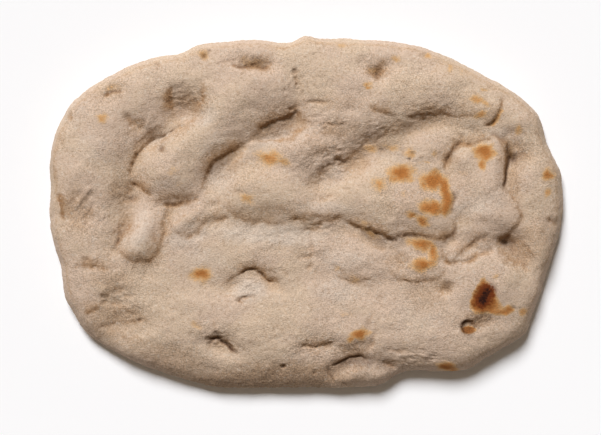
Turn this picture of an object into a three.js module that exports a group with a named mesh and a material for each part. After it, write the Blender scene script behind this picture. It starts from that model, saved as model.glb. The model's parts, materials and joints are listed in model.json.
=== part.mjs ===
// A pinsa base: an oval, hand-pressed flatbread, baked until its skin sets and dusted with flour.
// It is one solid. Its irregular outline, its rounded rim, the swollen rolls of dough and the valleys that
// fingertips pressed between them are all worked out below, and its underside is flat.
// Units are millimetres and +Z is up. The origin is the centre of the underside, X runs along the length.
import * as THREE from "three";

// Driving sizes.
const length = 300;
const width = 205;
const squareness = 2.65; // of the outline: 2 is an ellipse, more fills its corners
const slabTop = 17; // plain height of the dough between its rolls
const bellyHeight = 6.5; // the side is widest here
const edgeRound = 26; // how far in from the outline the top starts to round over
const edgeFullness = 2.3; // 2 rounds it over as an ellipse, more keeps it full and drops later
const footInset = 7; // how far the flat underside lies inside the outline

// Character of the relief.
const swellingBlend = 3; // how sharply swellings meet where they overlap
const rollFullness = 0.9; // 0.5 is a round section, 1 a flatter one with softer edges
const lipFullness = 0.8; // 0.5 rounds a fold's lip as a quarter circle, more lets it slope
const valleyFullness = 2; // more runs a valley out more softly at its edges
const endSize = 0.5; // how much of a roll's or valley's size is left at its two ends
const foldEndFullness = 0.7; // less keeps a fold large nearly up to its two ends
const stray = 1.2; // how far rolls, folds and valleys stray sideways
const unevenness = 0.35; // gentle lumps all over the top
const skinBridge = 2; // the skin's height is the mean over a circle of this radius, so it bridges sharp folds
const skinSamples = 8; // how many places on that circle count

// How finely the faces are laid out.
const topRings = 33;
const pointsPerRing = 6; // each ring outwards has this many points more
const ringCrowding = 1.12; // over 1 crowds the rings towards the rim, where the dough rounds over
const underArcSteps = 3;
const underShrink = 0.72; // from one ring of the flat underside to the next

// Where the rim bulges or is drawn in: at how many degrees anticlockwise from the right-hand end, over
// how many degrees to each side, and how far it stands out.
const rimShape = [
  { name: "nick above the right-hand end", at: 16, spread: 8, out: -4.5 },
  { name: "flat stretch at the upper right", at: 38, spread: 20, out: -4.8 },
  { name: "small bump at the top", at: 90, spread: 4, out: 1.5 },
  { name: "dip left of the top", at: 98, spread: 9, out: -2.8 },
  { name: "dip at the upper left", at: 129, spread: 7, out: -3.2 },
  { name: "full upper left corner", at: 158, spread: 20, out: 4.8 },
  { name: "nick in the left-hand end", at: 192, spread: 9, out: -4 },
  { name: "lower left bulge", at: 210, spread: 9, out: 1.7 },
  { name: "full stretch left of the bottom", at: 243, spread: 14, out: 2 },
  { name: "lower notch", at: 303, spread: 12, out: -7 },
  { name: "lip beside the lower notch", at: 316, spread: 5, out: 1.2 },
  { name: "corner at the lower right", at: 331, spread: 5, out: 2.5 },
  { name: "flat stretch below the right-hand end", at: 345, spread: 18, out: -6 },
];

// Swollen rolls: half-width, rise above the plain height, and the line they lie along as [x, y].
const rolls = [
  { name: "left rim", half: 24, rise: 3, line: [[-84, 82], [-114, 64], [-128, 34], [-130, -9], [-124, -54]] },
  { name: "upper rim", half: 24, rise: 1.8, line: [[-70, 86], [-40, 92], [10, 90], [60, 88]] },
  { name: "right rim", half: 18, rise: 3, line: [[98, 74], [132, 42], [137, 8], [135, -30]] },
  { name: "lower rim", half: 26, rise: 3, line: [[-88, -64], [-40, -68], [20, -66], [84, -72]] },
  { name: "scorched swelling", half: 22, rise: 4.4, line: [[90, -40], [104, -40], [120, -50]] },
  { name: "swelling above the dimple", half: 14, rise: 2, line: [[-48, -26], [-24, -26]] },
  { name: "lower lobe", half: 13, rise: 2.8, line: [[16, -95], [44, -94]] },
  { name: "ridge between the valleys", half: 13, rise: 3, line: [[0, 46], [-8, 30], [-12, 14]] },
  { name: "upper end of the long roll", half: 24, rise: 4.5, line: [[-50, 64], [-30, 72], [-10, 76]] },
  { name: "upper middle swelling", half: 26, rise: 4.5, line: [[6, 72], [36, 72], [60, 78]] },
  { name: "neck between the right-hand cushions", half: 18, rise: 4.8, line: [[98, 22], [106, 2]] },
];

// Folds: the dough to the left of each line, walking along it, swells up over the dough to its right. It
// rounds up over the stretch called round, then dies away at reach. The line itself is pressed in by sink,
// and the floor to its right climbs out of that over the stretch called floor.
const folds = [
  {
    name: "long upper left roll", rise: 6, round: 22, reach: 42, sink: 3, floor: 12,
    line: [[-101, 15], [-90, 8.5], [-76, 5], [-64, 8], [-57, 15], [-53, 26], [-41, 38], [-22, 51], [-3, 58]],
  },
  {
    name: "middle roll", rise: 6, round: 19, reach: 44, sink: 2, floor: 10,
    line: [[-56, 6], [-46, -1], [-36, -6], [-20, -8], [-8, -8], [4, -10]],
  },
  {
    name: "bridge between the rolls", rise: 3.2, round: 13, reach: 30, sink: 1.5, floor: 10,
    line: [[-8, -7], [0, -8.5], [10, -10], [20, -8], [30, -9]],
  },
  {
    name: "big right roll", rise: 6.2, round: 21, reach: 48, sink: 2.5, floor: 12,
    line: [[14, -7], [26, -9], [34, -13], [50, -19], [60, -17.5], [80, -19], [91, -10], [90, 4], [87, 18]],
  },
  {
    name: "flank of the upper middle swelling", rise: 4.5, round: 32, reach: 54, sink: 3, floor: 12,
    line: [[-9, 9], [5, 14], [18, 21], [34, 28], [50, 38]],
  },
  {
    name: "upper right roll", rise: 5, round: 20, reach: 38, sink: 3.4, floor: 12,
    line: [[38, 32], [52, 44], [64, 51], [78, 53], [90, 51]],
  },
  {
    name: "tip of the upper right roll", rise: 3.2, round: 9, reach: 20, sink: 1.5, floor: 6,
    line: [[84, 53], [98, 52], [109, 51], [114.5, 58], [116, 67]],
  },
  {
    name: "left rim's inner flank", rise: 2, round: 20, reach: 40, sink: 3.5, floor: 12,
    line: [[-107, -14], [-104, 8], [-100, 30], [-91, 41], [-80, 46], [-68, 54]],
  },
  {
    name: "right-hand cushion", rise: 4.2, round: 7, reach: 24, sink: 4, floor: 8,
    line: [[115, 8], [118.5, 20], [120, 33], [117, 43], [106, 46]],
  },
  {
    name: "left side of the right-hand cushion", rise: 3.5, round: 10, reach: 20, sink: 2.5, floor: 8,
    line: [[98, 44], [90, 43], [84, 37], [83.5, 29], [86, 20]],
  },
  {
    name: "lower right-hand cushion", rise: 5, round: 17, reach: 30, sink: 2.5, floor: 8,
    line: [[87, -16], [97, -19.5], [113, -19.5], [126, -10], [128, 0], [118, 12]],
  },
  {
    name: "cushion under the big roll", rise: 4, round: 15, reach: 28, sink: 1.2, floor: 10,
    line: [[48, -36], [56, -41], [66, -43.5], [76, -42], [82, -36], [82, -26]],
  },
  {
    name: "lower middle swelling", rise: 2.2, round: 14, reach: 28, sink: 1, floor: 12,
    line: [[10, -34], [17, -38], [26, -41], [40, -41], [52, -36]],
  },
  {
    name: "fingertip dimple", rise: 1.5, round: 9, reach: 20, sink: 3.5, floor: 9,
    line: [[-50, -47], [-41, -39], [-33, -35.5], [-26, -38], [-14, -47]],
  },
  {
    name: "dent beside the thick finger", rise: 1, round: 10, reach: 20, sink: 4.5, floor: 5,
    line: [[-115, -28], [-111, -18], [-104, -9], [-98, -2]],
  },
  {
    name: "thick finger", rise: 6, round: 13, reach: 20, sink: 3.5, floor: 8,
    line: [[-112, -26], [-105, -30], [-97, -32], [-88, -29.5], [-83, -16], [-81, 0]],
  },
  {
    name: "thin finger", rise: 3.6, round: 9, reach: 18, sink: 2.5, floor: 8,
    line: [[-81, -12], [-73, -16.5], [-62, -11.5], [-55, -5], [-48, -5]],
  },
  {
    name: "leaf-shaped fold", rise: 1.8, round: 6, reach: 12, sink: 1.5, floor: 7,
    line: [[79, -21], [80, -29], [90, -30], [107, -23]],
  },
  {
    name: "pocket in the upper rim", rise: 0.6, round: 3, reach: 8, sink: 7, floor: 12,
    line: [[-14, 86], [-24, 84], [-31, 85], [-38, 84], [-47, 87]],
  },
  {
    name: "pit in the upper rim", rise: 1, round: 12, reach: 18, sink: 6, floor: 6,
    line: [[30, 91], [36, 84], [41, 78], [48, 83], [58, 88]],
  },
  {
    name: "furrow in the lower left", rise: 1.5, round: 12, reach: 24, sink: 4, floor: 10,
    line: [[-133, -74], [-118, -69], [-104, -65], [-88, -66]],
  },
  {
    name: "upper furrow in the lower left", rise: 1.5, round: 9, reach: 20, sink: 2, floor: 7,
    line: [[-130, -60], [-120, -55], [-110, -55], [-98, -56]],
  },
  {
    name: "hollow above the lower edge", rise: 1.5, round: 10, reach: 22, sink: 3, floor: 8,
    line: [[-10, -78], [6, -79], [18, -79], [30, -82], [38, -77], [41, -62]],
  },
  {
    name: "fold above the lower lobe", rise: 1, round: 14, reach: 22, sink: 8, floor: 6,
    line: [[12, -95], [22, -90], [31, -87], [46, -92]],
  },
];

// Valleys and dents: half-width, how deep they are pressed, and the line they lie along.
const valleys = [
  { name: "left valley", half: 16, depth: 2.4, line: [[-112, -26], [-104, 6], [-97, 34], [-80, 50]] },
  { name: "deep dent beside the upper rim", half: 18, depth: 7, line: [[-80, 58], [-62, 62]] },
  { name: "dent beside the left valley", half: 12, depth: 3, line: [[-106, 54], [-94, 46]] },
  { name: "middle valley", half: 15, depth: 4, line: [[2, 54], [-16, 44], [-36, 30], [-58, 12]] },
  { name: "deep end of the middle valley", half: 11, depth: 3.5, line: [[-13, 53], [-4, 54]] },
  { name: "right valley", half: 14, depth: 3.5, line: [[92, 50], [66, 49], [44, 38], [20, 30], [4, 18]] },
  { name: "valley beside the cushion", half: 9, depth: 2.5, line: [[92, 44], [82, 30], [85, 16]] },
  { name: "deep notch in the right rim", half: 11, depth: 5, line: [[113, 50], [123, 36], [120, 14]] },
  { name: "valley inside the right rim", half: 10, depth: 2.4, line: [[121, 12], [129, 0], [126, -14]] },
  { name: "deep hole by the right rim", half: 13, depth: 6, line: [[114, -19], [128, -19]] },
  { name: "valley below the deep hole", half: 11, depth: 3, line: [[119, -19], [135, -40]] },
  { name: "trough under the long roll", half: 11, depth: 2.4, line: [[-104, 6], [-84, 1], [-60, 4]] },
  { name: "middle of the lower half", half: 22, depth: 1.6, line: [[-76, -34], [-30, -46], [70, -54]] },
  { name: "pocket in the left rim", half: 10, depth: 4, line: [[-119, 67], [-108, 71]] },
  { name: "seam above the middle valley", half: 9, depth: 3, line: [[-6, 82], [-5, 58]] },
  { name: "dent in the long roll", half: 10, depth: 1.6, line: [[-41, 63], [-30, 61]] },
  { name: "crack in the lower rim", half: 11, depth: 5, line: [[-61, -75], [-50, -78], [-41, -85]] },
  { name: "dip at the lower notch", half: 10, depth: 2.4, line: [[44, -90], [76, -86]] },
  { name: "slope in the lower left", half: 17, depth: 2.5, line: [[-126, -64], [-96, -60]] },
  { name: "fold in the left rim", half: 8, depth: 3, line: [[-146, 10], [-141, -9]] },
  { name: "dent in the left rim", half: 10, depth: 2, line: [[-134, 6], [-129, -4]] },
  { name: "dent beside the lower cushion", half: 10, depth: 3, line: [[82, -38], [82, -48]] },
  { name: "faint crease", half: 10, depth: 1.3, line: [[1, -12], [0, -30]] },
];

const between = THREE.MathUtils.clamp;

// 1 in the middle of a stretch and 0 at its two ends, given a place in it from -1 to 1.
const softHump = (place) => (Math.abs(place) < 1 ? 0.5 + 0.5 * Math.cos(Math.PI * place) : 0);

// The nearest point of a line: how far away it is, positive if the place lies to the left of the line, and
// how far along the line it is, from 0 to 1.
function nearestOnLine(x, y, line) {
  let nearest = { away: Infinity, along: 0 };
  for (let i = 1; i < line.length; i++) {
    const [startX, startY] = line[i - 1];
    const runX = line[i][0] - startX;
    const runY = line[i][1] - startY;
    const share = between(((x - startX) * runX + (y - startY) * runY) / (runX ** 2 + runY ** 2), 0, 1);
    const offX = x - startX - share * runX;
    const offY = y - startY - share * runY;
    const distance = Math.hypot(offX, offY);
    if (distance < Math.abs(nearest.away)) {
      const side = runX * offY - runY * offX < 0 ? -1 : 1;
      nearest = { away: side * distance, along: (i - 1 + share) / (line.length - 1) };
    }
  }
  return nearest;
}

// How strongly a roll or valley counts at a place: 1 on its line, 0 beyond its edge, and less near its ends,
// where it is also narrower.
function strengthAt(x, y, { line, half }, fullness) {
  const { away, along } = nearestOnLine(x, y, line);
  const size = endSize + (1 - endSize) * Math.sin(Math.PI * along);
  return size * Math.max(0, 1 - (away / (half * Math.sqrt(size))) ** 2) ** fullness;
}

// What a fold adds at a place: how much of its rise, and how much of its sink.
function foldAt(x, y, { line, round, reach, floor }) {
  const { away, along } = nearestOnLine(x, y, line);
  // It has its full size along the middle two thirds of its line.
  const size = Math.min(1, 2 * Math.sin(Math.PI * along)) ** foldEndFullness;
  if (away < 0) return { lifted: 0, sunk: size * Math.max(0, 1 + away / floor) ** 2 };
  const rounded = (1 - (1 - Math.min(1, away / round)) ** 2) ** lipFullness;
  const faded = softHump(Math.max(0, away - round) / (reach - round));
  return { lifted: size * rounded * faded, sunk: size * (1 - rounded) };
}

// Height of the dough's top above the underside, before the edge is rounded over.
function topHeight(x, y) {
  // The relief strays a little from its written lines, as hand-pressed dough does.
  const strayX = x + stray * (Math.sin(y / 6.1 + x / 31) + 0.6 * Math.sin(y / 3.7 - x / 9.5 + 2));
  const strayY = y + stray * (Math.sin(x / 6.7 - y / 27 + 1) + 0.6 * Math.sin(x / 4.1 + y / 8.3 + 4));
  let raised = 0;
  let pressed = 0;
  for (const roll of rolls) {
    raised += (roll.rise * strengthAt(strayX, strayY, roll, rollFullness)) ** swellingBlend;
  }
  for (const fold of folds) {
    const { lifted, sunk } = foldAt(strayX, strayY, fold);
    raised += (fold.rise * lifted) ** swellingBlend;
    pressed += fold.sink * sunk;
  }
  for (const valley of valleys) {
    pressed += valley.depth * strengthAt(strayX, strayY, valley, valleyFullness);
  }
  const lump = Math.sin(x / 5.3 + y / 13) * Math.sin(y / 4.7 - x / 17 + 2);
  return slabTop + raised ** (1 / swellingBlend) - pressed + unevenness * lump;
}

// Height of the skin, which bridges the sharpest folds.
function skinHeight(x, y) {
  let sum = topHeight(x, y);
  for (let i = 0; i < skinSamples; i++) {
    const angle = (i / skinSamples) * 2 * Math.PI;
    sum += topHeight(x + skinBridge * Math.cos(angle), y + skinBridge * Math.sin(angle));
  }
  return sum / (skinSamples + 1);
}

// A point of the outline, at a share of a turn from the right-hand end: a superellipse with the rim's shape.
function roughOutline(turn) {
  const angle = turn * 2 * Math.PI;
  const across = Math.abs(Math.cos(angle) / (length / 2)) ** squareness;
  const up = Math.abs(Math.sin(angle) / (width / 2)) ** squareness;
  let radius = (across + up) ** (-1 / squareness);
  for (const { at, spread, out } of rimShape) {
    const degreesAway = THREE.MathUtils.euclideanModulo(turn * 360 - at + 180, 360) - 180;
    radius += out * softHump(degreesAway / spread);
  }
  return new THREE.Vector3(radius * Math.cos(angle), radius * Math.sin(angle), 0);
}

// The same outline, moved and stretched so that this many points of it fill the length and width.
function makeOutline(count) {
  const points = Array.from({ length: count }, (_, i) => roughOutline(i / count));
  const box = new THREE.Box3().setFromPoints(points);
  const size = box.getSize(new THREE.Vector3());
  const stretch = new THREE.Vector3(length / size.x, width / size.y, 1);
  const middle = box.getCenter(new THREE.Vector3());
  return (turn) => roughOutline(turn).sub(middle).multiply(stretch);
}

// Gathers rings of points and the triangles between them.
class RingShell {
  points = [];
  faces = [];

  ring(count, place) {
    const ids = [];
    for (let i = 0; i < count; i++) ids.push(this.points.push(place(i / count)) - 1);
    return ids;
  }

  // Joins two rings that need not have as many points as each other. The faces look to the side from
  // which the rings run anticlockwise with the outer one second.
  stitch(inner, outer) {
    const at = (ring, i) => ring[i % ring.length];
    let i = 0;
    let o = 0;
    const innerSteps = inner.length === 1 ? 0 : inner.length;
    while (i < innerSteps || o < outer.length) {
      const innerNext = innerSteps ? (i + 1) / innerSteps : Infinity;
      if ((o + 1) / outer.length <= innerNext) {
        this.faces.push(at(inner, i), at(outer, o), at(outer, o + 1));
        o++;
      } else {
        this.faces.push(at(inner, i), at(outer, o), at(inner, i + 1));
        i++;
      }
    }
  }

  geometry() {
    const geometry = new THREE.BufferGeometry().setFromPoints(this.points);
    geometry.setIndex(this.faces);
    geometry.computeVertexNormals();
    return geometry;
  }
}

function makeDough() {
  const rimCount = topRings * pointsPerRing;
  const outline = makeOutline(rimCount);
  const shell = new RingShell();

  // A point of the top, at a share of the way from the middle to the outline.
  const topPoint = (turn, share) => {
    const rim = outline(turn);
    const fromEdge = (1 - share) * rim.length();
    const { x, y } = rim.multiplyScalar(share);
    const inFromEdge = between(fromEdge / edgeRound, 0, 1);
    const rounding = (1 - (1 - inFromEdge) ** edgeFullness) ** (1 / edgeFullness);
    return new THREE.Vector3(x, y, bellyHeight + (skinHeight(x, y) - bellyHeight) * rounding);
  };

  // A point of the lower side: from the belly, at arc 0, round to the flat underside, at arc 1.
  const underPoint = (turn, arc) => {
    const rim = outline(turn);
    const inset = footInset * (1 - Math.cos((arc * Math.PI) / 2));
    rim.setLength(rim.length() - inset);
    return rim.setZ(bellyHeight * (1 - Math.sin((arc * Math.PI) / 2)));
  };

  let last = shell.ring(1, () => topPoint(0, 0));
  for (let k = 1; k <= topRings; k++) {
    const share = 1 - (1 - k / topRings) ** ringCrowding;
    const next = shell.ring(k * pointsPerRing, (turn) => topPoint(turn, share));
    shell.stitch(last, next);
    last = next;
  }
  for (let step = 1; step <= underArcSteps; step++) {
    const next = shell.ring(rimCount, (turn) => underPoint(turn, step / underArcSteps));
    shell.stitch(last, next);
    last = next;
  }
  // The flat underside: each ring inwards has half as many points, down to one in the middle.
  for (let count = rimCount, share = 1; count > 1; ) {
    count = count > 2 * pointsPerRing ? Math.round(count / 2) : 1;
    share = count > 1 ? share * underShrink : 0;
    const next = shell.ring(count, (turn) => underPoint(turn, 1).multiplyScalar(share));
    const before = shell.faces.length;
    shell.stitch(next, last);
    turnOver(shell.faces, before);
    last = next;
  }
  return shell.geometry();
}

// Turns the faces from the given place in the list to look the other way.
function turnOver(faces, from) {
  for (let i = from; i < faces.length; i += 3) [faces[i + 1], faces[i + 2]] = [faces[i + 2], faces[i + 1]];
}

const crust = new THREE.MeshStandardMaterial({ color: 0xd3b696, roughness: 0.95, metalness: 0 });
const dough = new THREE.Mesh(makeDough(), crust);
dough.name = "dough";

const pinsa = new THREE.Group();
pinsa.name = "pinsa";
pinsa.add(dough);

export default pinsa;
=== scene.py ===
import json
import math
import bpy
import numpy as np
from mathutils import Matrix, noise

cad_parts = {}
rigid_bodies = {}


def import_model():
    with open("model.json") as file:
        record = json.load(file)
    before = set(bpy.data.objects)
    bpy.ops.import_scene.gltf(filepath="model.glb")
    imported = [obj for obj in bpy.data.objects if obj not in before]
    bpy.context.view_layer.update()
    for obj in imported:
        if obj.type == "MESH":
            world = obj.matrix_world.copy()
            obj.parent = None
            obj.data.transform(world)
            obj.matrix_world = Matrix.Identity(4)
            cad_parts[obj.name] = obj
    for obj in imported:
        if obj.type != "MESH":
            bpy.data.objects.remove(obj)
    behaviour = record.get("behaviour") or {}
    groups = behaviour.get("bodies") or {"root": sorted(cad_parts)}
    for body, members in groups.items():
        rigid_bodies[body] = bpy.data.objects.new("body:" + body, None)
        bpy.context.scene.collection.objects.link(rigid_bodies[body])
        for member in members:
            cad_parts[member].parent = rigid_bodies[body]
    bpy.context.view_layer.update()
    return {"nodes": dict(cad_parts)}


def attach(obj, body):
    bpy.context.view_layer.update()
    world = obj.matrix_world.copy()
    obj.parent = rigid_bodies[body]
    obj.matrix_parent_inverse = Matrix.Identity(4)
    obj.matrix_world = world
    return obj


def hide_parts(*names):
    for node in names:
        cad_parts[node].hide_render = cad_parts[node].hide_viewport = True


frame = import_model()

mm = 0.001

# The camera looks straight down, as the photograph does, from far enough away to keep the rim undistorted.
cameraPlan = {
    "seenLength": 352.8,  # how much of the floor's length fits in the picture, at the rim's height
    "distance": 980,
    "rimHeight": 6.5,
    "overPoint": (-3.5, -3.2),
    "sensorWidth": 36,
}


def placeCamera(plan):
    x, y = plan["overPoint"]
    height = plan["rimHeight"] + plan["distance"]
    bpy.ops.object.camera_add(location=(x * mm, y * mm, height * mm), rotation=(0, 0, 0))
    camera = bpy.context.active_object
    camera.data.sensor_width = plan["sensorWidth"]
    camera.data.lens = plan["sensorWidth"] * plan["distance"] / plan["seenLength"]
    bpy.context.scene.camera = camera


# A wide soft lamp beyond the upper edge, a little to the left, and pale walls all round. The lamp is far
# off, so that it lights the whole floor alike.
lightPlan = {
    "keyDirection": (-0.24, 0.7, 0.72),
    "keySoftness": 25,  # how wide the lamp looks from the floor, in degrees
    "keyStrength": 4.05,
    "keyColour": "#F9FBFF",
    "ceilingSoftness": 120,  # a pale ceiling above the floor, as wide as this many degrees
    "ceilingStrength": 0.25,
    "bounceColour": "#FFE8CE",
    "wallStrength": 0.07,
    "floorColour": "#FBFBFB",
    "floorSize": 8,  # metres
    "floorGap": 0.1,  # how far below the dough the floor lies, in millimetres, so that the two never flicker
}


def linear(hexColour):
    channels = [int(hexColour[i:i + 2], 16) / 255 for i in (1, 3, 5)]
    return [c / 12.92 if c <= 0.04045 else ((c + 0.055) / 1.055) ** 2.4 for c in channels] + [1]


def addNode(tree, kind, inputs=None, **settings):
    node = tree.nodes.new("ShaderNode" + kind)
    for name, value in settings.items():
        setattr(node, name, value)
    for socket, value in (inputs or {}).items():
        if isinstance(value, bpy.types.NodeSocket):
            tree.links.new(value, node.inputs[socket])
        else:
            node.inputs[socket].default_value = value
    return node


def newMaterial(name):
    material = bpy.data.materials.new(name)
    material.use_nodes = True
    material.node_tree.nodes.clear()
    return material


def addSun(name, direction, softness, strength, colour):
    x, y, z = np.array(direction) / np.linalg.norm(direction)
    bpy.ops.object.light_add(type="SUN", location=(x, y, z), rotation=(math.acos(z), 0, math.atan2(x, -y)))
    sun = bpy.context.active_object
    sun.name = name
    sun.data.angle = math.radians(softness)
    sun.data.energy = strength
    sun.data.color = linear(colour)[:3]


def buildStudio(plan):
    addSun("soft lamp", plan["keyDirection"], plan["keySoftness"], plan["keyStrength"], plan["keyColour"])
    addSun("pale ceiling", (0, 0, 1), plan["ceilingSoftness"], plan["ceilingStrength"], plan["bounceColour"])

    world = bpy.data.worlds.new("pale walls")
    world.use_nodes = True
    background = world.node_tree.nodes["Background"]
    background.inputs["Color"].default_value = linear(plan["bounceColour"])
    background.inputs["Strength"].default_value = plan["wallStrength"]
    bpy.context.scene.world = world
    bpy.context.scene.view_settings.view_transform = "Standard"

    bpy.ops.mesh.primitive_plane_add(size=plan["floorSize"], location=(0, 0, -plan["floorGap"] * mm))
    floor = bpy.context.active_object
    floor.name = "floor"
    paper = newMaterial("matt white backing paper")  # uncoated paper: plain and without a reflection
    surface = addNode(paper.node_tree, "BsdfPrincipled", {
        "Base Color": linear(plan["floorColour"]), "Roughness": 0.95, "Specular IOR Level": 0.1,
    })
    addNode(paper.node_tree, "OutputMaterial", {"Surface": surface.outputs[0]})
    floor.data.materials.append(paper)


placeCamera(cameraPlan)
buildStudio(lightPlan)
print("camera, lights and floor placed")

# All places below are millimetres on the dough, X along its length and Y across it, from its middle.

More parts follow.
